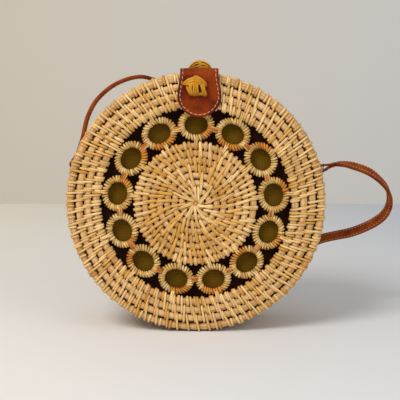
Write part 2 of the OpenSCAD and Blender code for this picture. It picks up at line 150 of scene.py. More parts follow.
def finishMesh(name, bm, material, body, smooth=True, nodes=()):
    if smooth:
        for face in bm.faces:
            face.smooth = True
    mesh = bpy.data.meshes.new(name)
    bm.to_mesh(mesh)
    bm.free()
    for one in material if isinstance(material, list) else [material]:
        mesh.materials.append(one)
    piece = bpy.data.objects.new(name, mesh)
    bpy.context.scene.collection.objects.link(piece)
    if body:
        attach(piece, body)
    if nodes:
        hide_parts(*nodes)
    return piece


def copiesRound(bm, start, count):
    # repeats all that was made since start, evenly round the bag's axis
    bm.verts.ensure_lookup_table()
    bm.verts.index_update()
    verts = [v for v in bm.verts if v.index >= start]
    edges = {e for v in verts for e in v.link_edges}
    faces = {f for v in verts for f in v.link_faces}
    bmesh.ops.spin(bm, geom=verts + list(edges) + list(faces), cent=(0, 0, bag["axisZ"]), axis=(0, 1, 0),
                   dvec=(0, 0, 0), angle=2 * pi * (count - 1) / count, steps=count - 1,
                   use_merge=False, use_normal_flip=False, use_duplicate=True)
    bm.verts.ensure_lookup_table()
    return len(verts)


def clockAngle(point):
    return atan2(point.x, point.z - bag["axisZ"])


# --- materials


def nodeMaterial(name):
    material = bpy.data.materials.new(name)
    material.use_nodes = True
    tree = material.node_tree
    return material, tree, tree.nodes["Principled BSDF"]


def addNode(tree, kind, **settings):
    node = tree.nodes.new(kind)
    for key, value in settings.items():
        if key in node.inputs and not hasattr(node, key):
            node.inputs[key].default_value = value
        else:
            setattr(node, key, value)
    return node


def setInputs(node, **values):
    for key, value in values.items():
        node.inputs[key.replace("_", " ")].default_value = value
    return node


def addRamp(tree, source, stops):
    ramp = tree.nodes.new("ShaderNodeValToRGB")
    while len(ramp.color_ramp.elements) < len(stops):
        ramp.color_ramp.elements.new(0.5)
    for element, (place, colour) in zip(ramp.color_ramp.elements, stops):
        element.position, element.color = place, colour
    tree.links.new(source, ramp.inputs["Fac"])
    return ramp.outputs["Color"]


def addMix(tree, blend, share, first, second):
    mix = tree.nodes.new("ShaderNodeMix")
    mix.data_type, mix.blend_type = "RGBA", blend
    mix.inputs[0].default_value = share
    for socket, value in ((mix.inputs[6], first), (mix.inputs[7], second)):
        if isinstance(value, tuple):
            socket.default_value = value
        else:
            tree.links.new(value, socket)
    return mix.outputs[2]


def addBump(tree, shader, height, distance, strength=1.0, normal=None):
    bump = tree.nodes.new("ShaderNodeBump")
    bump.inputs["Strength"].default_value = strength
    bump.inputs["Distance"].default_value = distance
    tree.links.new(height, bump.inputs["Height"])
    if normal:
        tree.links.new(normal, bump.inputs["Normal"])
    tree.links.new(bump.outputs["Normal"], shader.inputs["Normal"])
    return bump.outputs["Normal"]


def caneMaterial(name, gloss, fibres, ridge, patches=0.22, strands=0.25, shine=0.35):
    # the colour comes from the tint of each strip, which on the rows, ring cores and knots also holds painted shade;
    # the fibres run along its grain
    material, tree, shader = nodeMaterial(name)
    tint = addNode(tree, "ShaderNodeAttribute", attribute_name="tint")
    grain = addNode(tree, "ShaderNodeAttribute", attribute_name="grain")
    fine = setInputs(addNode(tree, "ShaderNodeTexNoise"), Scale=fibres, Detail=3, Roughness=0.6)
    tree.links.new(grain.outputs["Vector"], fine.inputs["Vector"])
    streak = addRamp(tree, fine.outputs["Fac"], [(0.3, (0.64, 0.53, 0.34, 1)), (0.52, (1, 1, 1, 1)),
                                                (0.75, (1.12, 1.1, 1.04, 1))])
    broad = setInputs(addNode(tree, "ShaderNodeTexNoise"), Scale=fibres * 0.36, Detail=2, Roughness=0.5)
    tree.links.new(grain.outputs["Vector"], broad.inputs["Vector"])
    strand = addRamp(tree, broad.outputs["Fac"], [(0.36, (0.5, 0.36, 0.16, 1)), (0.46, (1, 1, 1, 1)),
                                                  (0.62, (1, 1, 1, 1)), (0.74, (1.15, 1.12, 1.05, 1))])
    place = addNode(tree, "ShaderNodeTexCoord")
    wide = setInputs(addNode(tree, "ShaderNodeTexNoise"), Scale=70, Detail=2)
    tree.links.new(place.outputs["Object"], wide.inputs["Vector"])
    patch = addRamp(tree, wide.outputs["Fac"], [(0.3, paint("#c8ac78")), (0.5, (1, 1, 1, 1)),
                                               (0.7, paint("#fff0d2"))])
    colour = addMix(tree, "MULTIPLY", 1.0, tint.outputs["Color"], streak)
    colour = addMix(tree, "MULTIPLY", strands, colour, strand)
    colour = addMix(tree, "MULTIPLY", patches, colour, patch)
    tree.links.new(colour, shader.inputs["Base Color"])
    shader.inputs["Specular IOR Level"].default_value = shine
    rough = setInputs(addNode(tree, "ShaderNodeMapRange"), To_Min=gloss - 0.08, To_Max=gloss + 0.12)
    tree.links.new(fine.outputs["Fac"], rough.inputs["Value"])
    tree.links.new(rough.outputs["Result"], shader.inputs["Roughness"])
    addBump(tree, shader, fine.outputs["Fac"], ridge, 0.7)
    return material


def leatherMaterial(name, dark, warm, gloss):
    material, tree, shader = nodeMaterial(name)
    place = addNode(tree, "ShaderNodeTexCoord")
    edge = addNode(tree, "ShaderNodeAttribute", attribute_name="tint")
    cloud = setInputs(addNode(tree, "ShaderNodeTexNoise"), Scale=85, Detail=4, Roughness=0.6)
    tree.links.new(place.outputs["Object"], cloud.inputs["Vector"])
    colour = addRamp(tree, cloud.outputs["Fac"], [(0.34, dark), (0.64, warm)])
    pores = setInputs(addNode(tree, "ShaderNodeTexVoronoi"), Scale=1500)
    tree.links.new(place.outputs["Object"], pores.inputs["Vector"])
    grainTone = addRamp(tree, pores.outputs["Distance"], [(0.0, (1.1, 1.1, 1.1, 1)), (0.55, (0.8, 0.78, 0.76, 1))])
    colour = addMix(tree, "MULTIPLY", 0.75, colour, grainTone)
    colour = addMix(tree, "MULTIPLY", 1.0, colour, edge.outputs["Color"])
    tree.links.new(colour, shader.inputs["Base Color"])
    shader.inputs["Specular IOR Level"].default_value = 0.09
    rough = setInputs(addNode(tree, "ShaderNodeMapRange"), To_Min=gloss - 0.1, To_Max=gloss + 0.16)
    tree.links.new(cloud.outputs["Fac"], rough.inputs["Value"])
    tree.links.new(rough.outputs["Result"], shader.inputs["Roughness"])
    creases = setInputs(addNode(tree, "ShaderNodeTexNoise"), Scale=340, Detail=5, Roughness=0.65)
    tree.links.new(place.outputs["Object"], creases.inputs["Vector"])
    first = addBump(tree, shader, creases.outputs["Fac"], 0.0005, 0.55)
    addBump(tree, shader, pores.outputs["Distance"], 0.00025, 0.5, first)
    return material


def threadMaterial(name, colour):
    material, tree, shader = nodeMaterial(name)
    grain = addNode(tree, "ShaderNodeAttribute", attribute_name="grain")
    twist = setInputs(addNode(tree, "ShaderNodeTexWave", bands_direction="DIAGONAL"), Scale=900)
    tree.links.new(grain.outputs["Vector"], twist.inputs["Vector"])
    tone = addRamp(tree, twist.outputs["Fac"], [(0.0, mixed(colour, (0, 0, 0, 1), 0.35)), (0.7, colour)])
    tree.links.new(tone, shader.inputs["Base Color"])
    shader.inputs["Roughness"].default_value = 0.7
    addBump(tree, shader, twist.outputs["Fac"], 0.0001, 0.5)
    return material


def clothMaterial(name, warp, weft, threads):
    # plain weave: two sets of threads on the cloth's own UV map, in metres
    material, tree, shader = nodeMaterial(name)
    place = addNode(tree, "ShaderNodeUVMap", uv_map="lay")
    heights = []
    for direction in ("X", "Y"):
        wave = setInputs(addNode(tree, "ShaderNodeTexWave", bands_direction=direction), Scale=threads,
                         Distortion=0.6, Detail=1)
        tree.links.new(place.outputs["UV"], wave.inputs["Vector"])
        heights.append(wave.outputs["Fac"])
    over = addNode(tree, "ShaderNodeMath", operation="MAXIMUM")
    tree.links.new(heights[0], over.inputs[0])
    tree.links.new(heights[1], over.inputs[1])
    slub = setInputs(addNode(tree, "ShaderNodeTexNoise"), Scale=55, Detail=5)
    tree.links.new(place.outputs["UV"], slub.inputs["Vector"])
    colour = addRamp(tree, slub.outputs["Fac"], [(0.35, warp), (0.65, weft)])
    # the tint holds the painted shade between the rings on the lid's lining
    tintAndShade = addNode(tree, "ShaderNodeAttribute", attribute_name="tint")
    colour = addMix(tree, "MULTIPLY", 1.0, colour, tintAndShade.outputs["Color"])
    colour = addMix(tree, "MULTIPLY", 0.6, colour,
                    addRamp(tree, over.outputs["Value"], [(0.3, (0.45, 0.42, 0.4, 1)), (0.9, (1.15, 1.15, 1.15, 1))]))
    tree.links.new(colour, shader.inputs["Base Color"])
    shader.inputs["Roughness"].default_value = 0.92
    shader.inputs["Specular IOR Level"].default_value = 0.15
    shader.inputs["Sheen Weight"].default_value = 0.04
    addBump(tree, shader, over.outputs["Value"], 0.00025, 0.8)
    return material


# --- camera

view = {
    "target": (0, -0.037, 0.1005),
    "azimuth": 1.0,
    "elevation": 6.0,
    "distance": 0.7,
    "pixel": 0.00077,       # metres across one picture point at the target
    "shift": (0.0115, 0.01),
}


def makeCamera():
    a, e, d = radians(view["azimuth"]), radians(view["elevation"]), view["distance"]
    away = Vector((sin(a) * cos(e), -cos(a) * cos(e), sin(e)))
    data = bpy.data.cameras.new("camera")
    camera = bpy.data.objects.new("camera", data)
    bpy.context.scene.collection.objects.link(camera)
    camera.location = Vector(view["target"]) + away * d
    camera.rotation_euler = away.to_track_quat("Z", "Y").to_euler()
    data.sensor_width = 36
    data.lens = 36 * d / (400 * view["pixel"])
    data.shift_x, data.shift_y = view["shift"]
    data.clip_start, data.clip_end = 0.01, 20
    bpy.context.scene.camera = camera


makeCamera()

# --- the finishes of the whole bag

finish = {
    "strip": caneMaterial("caneStrip", 0.42, 2600, 0.00018),
    "core": caneMaterial("caneCore", 0.62, 2200, 0.0003, 0.3, 0.5, 0.15),
    "ring": caneMaterial("wrappedCane", 0.42, 2600, 0.00018),
    "lash": caneMaterial("lashingCane", 0.4, 2600, 0.00018),
    "gold": caneMaterial("goldenCane", 0.5, 2000, 0.0002, 0.3, shine=0.12),
    "flap": leatherMaterial("flapLeather", paint("#571502"), paint("#943b05"), 0.45),
    "strap": leatherMaterial("strapLeather", paint("#702904"), paint("#9e4c12"), 0.5),
    "thread": threadMaterial("paleThread", paint("#e6b48c")),
    "lining": clothMaterial("liningCloth", paint("#fff6e0"), paint("#e2d8c8"), 260),
}

# --- shoulder strap, one long free strap put away behind the bag

strap = {
    "wide": 0.008,
    "thick": 0.003,
    "loopY": 0.0195,
    "loopRadius": 0.1053,
    "endLength": 0.012,
    "left": (-75, 20),       # angle of the cane loop and lean of the sewn end, in degrees
    "right": (77, 73),
    "stitchPitch": 0.0027,
    "downLeft": [(-94, 19.5, 150), (-92.2, 20, 159), (-89.5, 20.5, 168), (-84.5, 22, 178),
                 (-77.5, 23.5, 186), (-68.5, 26, 193), (-58, 29, 197.8), (-46.5, 33, 200),
                 (-35, 39, 197.5), (-21, 44, 193), (-12, 47, 180),
                 (-7, 49, 162), (-5, 50, 143),
                 (-5, 52, 123), (-7, 54, 103), (-11, 56, 83), (-17, 58, 64), (-23, 59, 46),
                 (-27, 60, 28), (-22, 61, 11), (-7, 62, 2)],
    "coilAt": (12, 108), "coilRadius": 46, "coilPitch": 5, "coilStep": 30, "coilTurns": 2,
    "upRight": [((34, 75, 9), (0, 0, 1)), ((51, 71.5, 17), (0, 0, 1)), ((66, 68.5, 29), (-.1, .1, 1)),
                ((80, 65, 42), (-.2, .1, 1)), ((94, 61.5, 53), (-.2, .1, 1)),
                ((108.5, 58, 60), (-.1, .2, 1)), ((121, 55, 63.5), (-.1, .2, 1)),
                ((133, 52, 66.5), (-.2, .3, .95)), ((143.5, 49, 71), (-.3, .4, .9)),
                ((153, 46, 76.5), (-.4, .5, .7)), ((159.5, 43, 82.5), (-.5, .7, .5)),
                ((163, 40, 89.5), (-.4, .9, .3)), ((163.3, 36, 97.5), (-.2, 1, .3)),
                ((160.5, 32, 106), (0, .9, .5)), ((154, 28, 113.5), (0, .8, .6)),
                ((144, 25, 121), (0, .7, .7)), ((131, 22, 126), (0, .8, .6)), ((121, 20, 128), (0, 1, .3))],
}


def loopMiddle(side):
    a = radians(strap[side][0])
    return Vector((strap["loopRadius"] * sin(a), strap["loopY"], bag["axisZ"] + strap["loopRadius"] * cos(a)))


def leanWay(side):
    a = radians(strap[side][1])
    return Vector((sin(a), 0, cos(a)))


def strapRoute():
    acrossBag = Vector((0, 1, 0))
    route = [(loopMiddle("left") + strap["endLength"] * leanWay("left"), acrossBag)]
    route += [(Vector(p) / 1000, acrossBag) for p in strap["downLeft"]]
    for i in range(360 * strap["coilTurns"] // strap["coilStep"]):
        a = i * strap["coilStep"]
        r = strap["coilRadius"] - strap["coilPitch"] * a / 360
        tilt = radians(min(a, 90))
        out = Vector((sin(radians(a)), -cos(radians(a)), 0))
        low = 1000 * (strap["wide"] / 2 * sin(tilt) + strap["thick"] / 2 * cos(tilt))
        place = Vector((strap["coilAt"][0], strap["coilAt"][1], low)) + r * out
        route.append((place / 1000, Vector((0, 0, sin(tilt))) - out * cos(tilt)))
    route += [(Vector(p) / 1000, Vector(w)) for p, w in strap["upRight"]]
    route.append((loopMiddle("right") + strap["endLength"] * leanWay("right"), acrossBag))
    return route


def smoothRoute(route, parts):
    # rounds the route between its places
    points, wides = [], []
    ends = [(2 * route[0][0] - route[1][0], route[0][1])] + route + [(2 * route[-1][0] - route[-2][0], route[-1][1])]
    for i in range(1, len(ends) - 2):
        p0, p1, p2, p3 = (ends[i + k][0] for k in (-1, 0, 1, 2))
        for j in range(parts):
            t = j / parts
            points.append(0.5 * (2 * p1 + (p2 - p0) * t + (2 * p0 - 5 * p1 + 4 * p2 - p3) * t * t
                                 + (3 * p1 - p0 - 3 * p2 + p3) * t ** 3))
            wides.append(ends[i][1].normalized().lerp(ends[i + 1][1].normalized(), t * t * (3 - 2 * t)).normalized())
    return points + [route[-1][0]], wides + [route[-1][1]]


def strapSection():
    w, t, cut = strap["wide"] / 2, strap["thick"] / 2, 0.0006
    seam, groove = w - 0.0013, t - 0.00022
    return [(w, -t + cut), (w, t - cut), (w - cut, t), (seam, groove), (w - 0.002, t), (0, t),
            (-w + 0.002, t), (-seam, groove), (-w + cut, t), (-w, t - cut),
            (-w, -t + cut), (-w + cut, -t), (-seam, -groove), (-w + 0.002, -t), (0, -t),
            (w - 0.002, -t), (seam, -groove), (w - cut, -t)]


def sewnStitch(bm, place, length, width):
    # one thread stitch: a small low ball, drawn out along the seam
    size = Matrix.Diagonal((width / 2, width / 2, length / 2, 1))
    made = bmesh.ops.create_icosphere(bm, subdivisions=1, radius=1, matrix=place @ size)
    return made["verts"]


def makeStrap():
    route = strapRoute()
    points, wides = smoothRoute(route, 4)
    places = alongPath(points, wides)
    bm, tint, grain = newBm()
    sweep(bm, strapSection(), places)
    bmesh.ops.recalc_face_normals(bm, faces=bm.faces[:])
    for v in bm.verts:
        v[tint] = (1, 1, 1, 1)
    piece = finishMesh("shoulderStrap", bm, finish["strap"], "basket", nodes=["shoulder_strap"])
    bm, tint, grain = newBm()
    rng = random.Random(11)
    travelled, due = 0.0, strap["stitchPitch"] / 2
    for a, b in zip(places, places[1:]):
        step = (b.translation - a.translation).length
        while due < travelled + step:
            here = a.lerp(b, (due - travelled) / step)
            for side in (-1, 1):
                for face in (-1, 1):
                    at = Matrix.Translation((side * (strap["wide"] / 2 - 0.0013),
                                             face * (strap["thick"] / 2 - 0.0001), 0))
                    slant = Matrix.Rotation(side * 0.12 + rng.uniform(-0.06, 0.06), 4, "Y")
                    for v in sewnStitch(bm, here @ at @ slant, 0.0021, 0.0007):
                        v[tint] = (1, 1, 1, 1)
            due += strap["stitchPitch"]
        travelled += step
    thread = finishMesh("strapThread", bm, finish["thread"], "basket")
    thread.parent = piece
    print("strap:", round(travelled, 3), "m")


makeStrap()

def flattenFoot(bm):
    # what would sink into the surface is pressed flat on it
    for v in bm.verts:
        v.co.z = max(v.co.z, 0.0)


# --- stitches that hold each row to the one before

stitch = {
    "count": 75,            # in each round of the band and the wall
    "width": 0.0018,
    "thick": 0.00105,
    "lean": 9,              # degrees that the inner end lies clockwise of the outer one
    "step": 0.0029,         # each strip lies this far clockwise of its neighbour in the round outside
    "middleWidth": 0.0024,
    "middleLean": 12,
    "middleStep": 0.004,
    "middleCounts": [33, 29, 25, 22, 16, 12, 9],
    "pale": [paint("#ebc484"), paint("#e3b971"), paint("#efce94"), paint("#dcb066")],
    "gold": [paint("#d6a03a"), paint("#cf9534")],
    "odd": [paint("#d0903e"), paint("#caa24c")],
}
stitchAngles = {}           # where the stitches cross each row


def rowKey(radius, depth):
    return round(radius * 1e5), round(depth * 1e5)


def pickTone(rng, gold, odd, place):
    # strips of one colour lie together in patches
    gold *= 1 + 2.4 * noise.noise(place * 42)
    roll = rng.random()
    kind = "odd" if roll < odd else "gold" if roll < odd + gold else "pale"
    return shaded(mixed(rng.choice(stitch[kind]), stitch["pale"][0], rng.uniform(0, 0.5)), rng.uniform(0.88, 1.04))


def stitchPath(a, b, half, fromA, toB, dip):
    # over row a and row b, given as (radius, depth to the front) of their middles
    a, b = Vector(a), Vector(b)
    d = (b - a).normalized()
    n = Vector((-d.y, d.x))
    if fromA < 45:          # the strip goes in at the top of row a
        points = [a + n * half * 0.5 + d * half * 0.1, a + n * half * 0.85 + d * half * 0.12,
                  a + n * half * 1.01 + d * half * 0.24, a + n * half * 0.94 + d * half * 0.6]
    else:
        points = []
    for i in range(4 - len(points)):
        phi = radians(fromA) * (1 - i / 3.4)
        points.append(a + squareRound(phi, half) * (cos(phi) * n - sin(phi) * d))
    points.append((a + b) / 2 + n * (half - dip))
    for i in range(4):
        phi = radians(toB) * (0.4 + i) / 3.4
        points.append(b + squareRound(phi, half) * (cos(phi) * n + sin(phi) * d))
    return points


def wrapPath(a, b, half, fromA, toB):
    # over row a alone, which has row b on its far side
    a, d = Vector(a), (Vector(b) - Vector(a)).normalized()
    n = Vector((-d.y, d.x))
    turns = [radians(-fromA + (fromA + toB) * i / 8) for i in range(9)]
    return [a + squareRound(phi, half) * (cos(phi) * n + sin(phi) * d) for phi in turns]


def evenly(count, start=0.0):
    return [2 * pi * i / count + start for i in range(count)]


def nextRound(places, turn, count, rng):
    # each strip lies beside one of the round outside; where they get too close one is left out
    places = [p + turn + rng.gauss(0, 0.06) * 2 * pi / len(places) for p in places]
    while len(places) > count:
        gaps = [(places[(i + 1) % len(places)] - p) % (2 * pi) for i, p in enumerate(places)]
        places.pop((gaps.index(min(gaps)) + 1) % len(places))
        for turn in range(2):
            gaps = [(places[(i + 1) % len(places)] - p) % (2 * pi) for i, p in enumerate(places)]
            places = [p + (gaps[i] - gaps[i - 1]) * 0.2 for i, p in enumerate(places)]
    return places


def stitchRound(whole, a, b, places, half=None, fromA=80, toB=80, dip=0.0004, width=None, rng=None, gold=0.08,
                odd=0.04, lean=None, skip=None, single=False, stray=0.05, spread=2.5):
    # one round of strips between two rows, each a little different from the next
    half = half or bag["rowHalf"] - 0.0002
    width = width or stitch["width"]
    lean = stitch["lean"] if lean is None else lean
    count = len(places)
    path = wrapPath(a, b, half, fromA, toB) if single else stitchPath(a, b, half, fromA, toB, dip)
    up = clockFrame(0)
    points = [up @ Vector((0, p.x, p.y)) for p in path]
    bm, tint, grain = newBm()
    section = strip(width, stitch["thick"])
    sweep(bm, section, alongPath(points, [Vector((-1, 0, 0))] * len(points)))
    for v in bm.verts:
        v[grain] = (v.co.x, v.co.z * 0.06, v.co.y * 0.06)
    size = copiesRound(bm, 0, count)
    middle = Vector(a) if single else (Vector(a) + Vector(b)) / 2
    d = (Vector(b) - Vector(a)).normalized()
    n = Vector((-d.y, d.x, 0))
    crests = [(a, 4)] if single else [(a, 2), (b, 6)]
    axis = Matrix.Translation((0, 0, bag["axisZ"]))
    for i in range(count):
        chunk = bm.verts[i * size:(i + 1) * size]
        angle = clockAngle(sum((v.co for v in chunk), Vector()) / size)
        local = clockFrame(angle * 180 / pi)
        centre = local @ Vector((0, middle.x, middle.y))
        outward = (local.to_3x3() @ Vector((0, n.x, n.y))).normalized()
        turn = Matrix.Rotation(radians(lean + rng.gauss(0, spread)), 4, outward)
        slide = places[i] - angle + rng.uniform(-stray, stray) * 2 * pi / count
        slide = Matrix.Rotation(slide, 4, Vector((0, 1, 0)))
        swell = Matrix.Scale(rng.uniform(0.98, 1.03), 4)
        move = (axis @ slide @ axis.inverted() @ Matrix.Translation(centre) @ turn @ swell
                @ Matrix.Translation(-centre))
        bmesh.ops.transform(bm, matrix=move, verts=chunk)
        for row, at in crests:
            crest = sum((v.co for v in chunk[at * len(section):(at + 1) * len(section)]), Vector()) / len(section)
            stitchAngles.setdefault(rowKey(*row), []).append(clockAngle(crest))
        tone = pickTone(rng, gold, odd, centre)
        for v in chunk:
            v[tint] = tone
            v[grain] = v[grain] + Vector((0, 0, i * 0.0137))
        if skip and skip(clockAngle(axis @ slide @ axis.inverted() @ centre)):
            for v in chunk:
                v.tag = True
    gone = [v for v in bm.verts if v.tag]
    if gone:
        bmesh.ops.delete(bm, geom=gone, context="VERTS")
    addTo(whole, bm)


def nearHinge(angle):
    # no stitches where the hinge loops sit, at the bottom
    return abs(abs(angle) - pi) < 0.018 / 0.0976


def makeStitches():
    rng = random.Random(4)
    band = [(r, bag["faceDepth"]) for r in bag["bandRadii"]]
    rim = (bag["wallRadius"], bag["rimDepths"][0])
    places = evenly(stitch["count"])
    onward = stitch["step"] / bag["bandRadii"][1]
    bm, tint, grain = newBm()
    stitchRound(bm, band[0], rim, places, fromA=130, toB=60, rng=rng, odd=0.1, lean=0, skip=nearHinge)
    for k in range(3):
        places = nextRound(places, onward, len(places), rng)
        stitchRound(bm, band[k + 1], band[k], places, rng=rng)
    places = nextRound(places, onward, len(places), rng)
    stitchRound(bm, band[3], band[2], places, fromA=150, toB=84, width=0.0022, rng=rng, gold=0.3, single=True)
    bmesh.ops.recalc_face_normals(bm, faces=bm.faces[:])
    flattenFoot(bm)
    finishMesh("bandStitches", bm, finish["strip"], "lid")

    bm, tint, grain = newBm()
    rows = [(0.04475 - 0.0057 * k, bag["faceDepth"]) for k in range(8)]
    outside = (0.0504, bag["faceDepth"])
    places = evenly(stitch["middleCounts"][0] + 1)
    wide = {"half": 0.0028, "width": stitch["middleWidth"], "rng": rng}
    stitchRound(bm, rows[0], outside, places, fromA=84, toB=150, lean=4, single=True, **wide)
    for k, count in enumerate(stitch["middleCounts"]):
        radius = (rows[k][0] + rows[k + 1][0]) / 2
        places = nextRound(places, stitch["middleStep"] / radius, count, rng)
        if k > 4:
            wide["width"] = 0.0019
        stitchRound(bm, rows[k + 1], rows[k], places, spread=4, gold=[0.25, 0.4, 0.7, 0.8, 0.7, 0.2, 0][k],
                    lean=stitch["middleLean"], fromA=84, toB=84, **wide)
    stitchRound(bm, rows[7], rows[6], evenly(7), gold=0, lean=4, fromA=200, **wide)
    bmesh.ops.recalc_face_normals(bm, faces=bm.faces[:])
    finishMesh("middleStitches", bm, finish["strip"], "lid")

    bm, tint, grain = newBm()
    wall = [(bag["wallRadius"], bag["rimDepths"][1])] + [(bag["wallRadius"], d) for d in bag["wallDepths"]]
    wall.append((0.0965, bag["backDepth"]))
    places = evenly(stitch["count"])
    for k in range(len(wall) - 1):
        stitchRound(bm, wall[k], wall[k + 1], places, rng=rng, lean=-8, skip=nearHinge if k < 2 else None,
                    toB=110 if k == len(wall) - 2 else 80)
        places = nextRound(places, -stitch["step"] / bag["wallRadius"], len(places), rng)
    bmesh.ops.recalc_face_normals(bm, faces=bm.faces[:])
    flattenFoot(bm)
    finishMesh("wallStitches", bm, finish["strip"], "basket")

    bm, tint, grain = newBm()
    back = [(0.0965 - bag["rowStep"] * k, bag["backDepth"]) for k in range(15)]
    for k in range(14):
        radius = (back[k][0] + back[k + 1][0]) / 2
        count = max(9, round(2 * pi * radius / 0.0079))
        places = nextRound(places, -stitch["step"] / radius, min(count, len(places)), rng)
        stitchRound(bm, back[k], back[k + 1], places, rng=rng, lean=-10, gold=0.16)
    bmesh.ops.recalc_face_normals(bm, faces=bm.faces[:])
    flattenFoot(bm)
    finishMesh("backStitches", bm, finish["strip"], "basket")
    print("stitches")


makeStitches()

# --- coiled rows

coil = {
    "sectionPoints": 14,
    "slim": 0.9,            # the rows are a little narrower than their step, with dark slits between
    "pinch": 0.15,          # how far a stitch draws the row in
    "pinchReach": 0.0014,
    "light": paint("#e6bf8a"),
    "warm": paint("#d0a066"),
    # painted shade: the dark brown painted on the sides of each row, in the grooves between rows
    "groove": paint("#3c1700"),
}


def pinchAt(angle, radius, crossings):
    # 1 under a stitch, falling to 0 in the middle of the cell between two stitches
    i = bisect(crossings, angle)
    gaps = [abs((angle - crossings[k % len(crossings)] + pi) % (2 * pi) - pi) for k in (i - 1, i)]
    return exp(-(min(gaps) * radius / coil["pinchReach"]) ** 2)


def coiledRow(whole, radius, depth, out, half=None, seed=1):
    # one row, spun about the bag's axis; out is the way that it shows, in the plane of its section
    half = half or bag["rowHalf"] - 0.0002
    crossings = sorted(stitchAngles.get(rowKey(radius, depth), [])) or [0.0]
    steps = max(60, min(480, 3 * len(crossings)))
    count = coil["sectionPoints"]
    frameUp = clockFrame(0)
    bm, tint, grain = newBm()
    corners = []
    for i in range(count):
        phi = 2 * pi * i / count
        reach = squareRound(phi, half)
        across, off = (reach * sin(phi), reach * cos(phi))
        if out[0] == 1:
            off *= coil["slim"]
        else:
            across *= coil["slim"]
        corners.append(bm.verts.new(frameUp @ Vector((0, radius + across, depth + off))))
    edges = [bm.edges.new((a, b)) for a, b in zip(corners, corners[1:] + corners[:1])]
    bmesh.ops.spin(bm, geom=corners + edges, cent=(0, 0, bag["axisZ"]), axis=(0, 1, 0), dvec=(0, 0, 0),
                   angle=2 * pi, steps=steps, use_merge=True, use_normal_flip=False, use_duplicate=False)
    for v in bm.verts:
        angle = clockAngle(v.co)
        outward = Vector((sin(angle), 0, cos(angle)))
        core = outward * radius + Vector((0, -depth, bag["axisZ"]))
        r = hypot(v.co.x, v.co.z - bag["axisZ"])
        facing = ((r - radius) * out[0] + (-v.co.y - depth) * out[1]) / half
        # painted shade: besides drawing the row in, pinch makes the row's painted colour darker under each stitch
        pinch = pinchAt(angle, radius, crossings)
        cloud = noise.noise(Vector((v.co.x * 38 + seed, v.co.z * 38, r * 240)))
        # painted shade: the sides of a row that turn away from where it shows get the dark groove colour instead of the
        # lit cane colour
        litShare = max(0.0, min(1.0, (facing - 0.34) / 0.34)) * (1 - 0.3 * pinch)
        v[tint] = mixed(coil["groove"], mixed(coil["light"], coil["warm"], 0.5 + cloud), litShare)
        v[grain] = (r, v.co.y * 0.9, angle * 0.0008)
        v.co = core + (v.co - core) * (1 - coil["pinch"] * pinch + 0.03)
    addTo(whole, bm)


def rowStart(bm, tint, grain, radius, depth):
    # the round start in the middle, from which the rows are sewn outwards
    made = bmesh.ops.create_uvsphere(bm, u_segments=16, v_segments=8, radius=radius,
                                     matrix=Matrix.Translation((0, -depth, bag["axisZ"])))
    for v in made["verts"]:
        v[tint], v[grain] = coil["warm"], v.co


def makeCores():
    bm, tint, grain = newBm()
    for k, radius in enumerate(bag["bandRadii"]):
        coiledRow(bm, radius, bag["faceDepth"], (0.25 if k == 0 else 0, 1), seed=k)
    bmesh.ops.recalc_face_normals(bm, faces=bm.faces[:])
    flattenFoot(bm)
    finishMesh("bandRows", bm, finish["core"], "lid", nodes=["lid_band"])

    bm, tint, grain = newBm()
    for k in range(8):
        radius = 0.04475 - 0.0057 * k
        coiledRow(bm, radius, bag["faceDepth"], (0, 1), half=0.0028, seed=k + 7)
    rowStart(bm, tint, grain, 0.0022, bag["faceDepth"])
    bmesh.ops.recalc_face_normals(bm, faces=bm.faces[:])
    finishMesh("middleRows", bm, finish["core"], "lid", nodes=["lid_middle"])

    bm, tint, grain = newBm()
    for k, depth in enumerate(bag["wallDepths"]):
        coiledRow(bm, bag["wallRadius"], depth, (1, 0), seed=k + 20)
    bmesh.ops.recalc_face_normals(bm, faces=bm.faces[:])
    flattenFoot(bm)
    finishMesh("wallRows", bm, finish["core"], "basket", nodes=["side_wall"])

    bm, tint, grain = newBm()
    for k in range(15):
        radius = 0.0965 - bag["rowStep"] * k
        coiledRow(bm, radius, bag["backDepth"], (0.25 if k == 0 else 0, -1), seed=k + 40)
    rowStart(bm, tint, grain, 0.003, bag["backDepth"])
    bmesh.ops.recalc_face_normals(bm, faces=bm.faces[:])
    flattenFoot(bm)
    finishMesh("backRows", bm, finish["core"], "basket", nodes=["back_panel"])
    print("coiled rows")


makeCores()

# --- wrapped rings of the openwork

ring = {
    "pitchRadius": 0.06065,
    "halfWide": 0.0115,     # of the middle line, along the clock
    "halfHigh": 0.00995,
    "tube": 0.002,
    "wraps": 34,
    "wrapWidth": 0.00165,
    "wrapThick": 0.0007,
    "wrapLean": 15,
    # painted shade: the core is dark brown so that the gaps between the wraps look shaded
    "core": paint("#5a360c"),
    "tones": [paint("#dcb873"), paint("#d2a960"), paint("#e3c486"), paint("#c79a52")],
    "goldTones": [paint("#cf8a2c"), paint("#c27a26"), paint("#c98a3a")],
}


def ringPlace(share):
    # a place on the ring's middle line; share runs from 0 to 1 round the oval
    t = 2 * pi * share
    return Vector((ring["halfWide"] * sin(t), ring["pitchRadius"] + ring["halfHigh"] * cos(t), bag["faceDepth"]))


def ringPlaces(count, shift=0.0):
    points = [ringPlace((i + shift) / count) for i in range(count)]
    return alongPath(points, [Vector((0, 0, 1))] * count, closed=True)


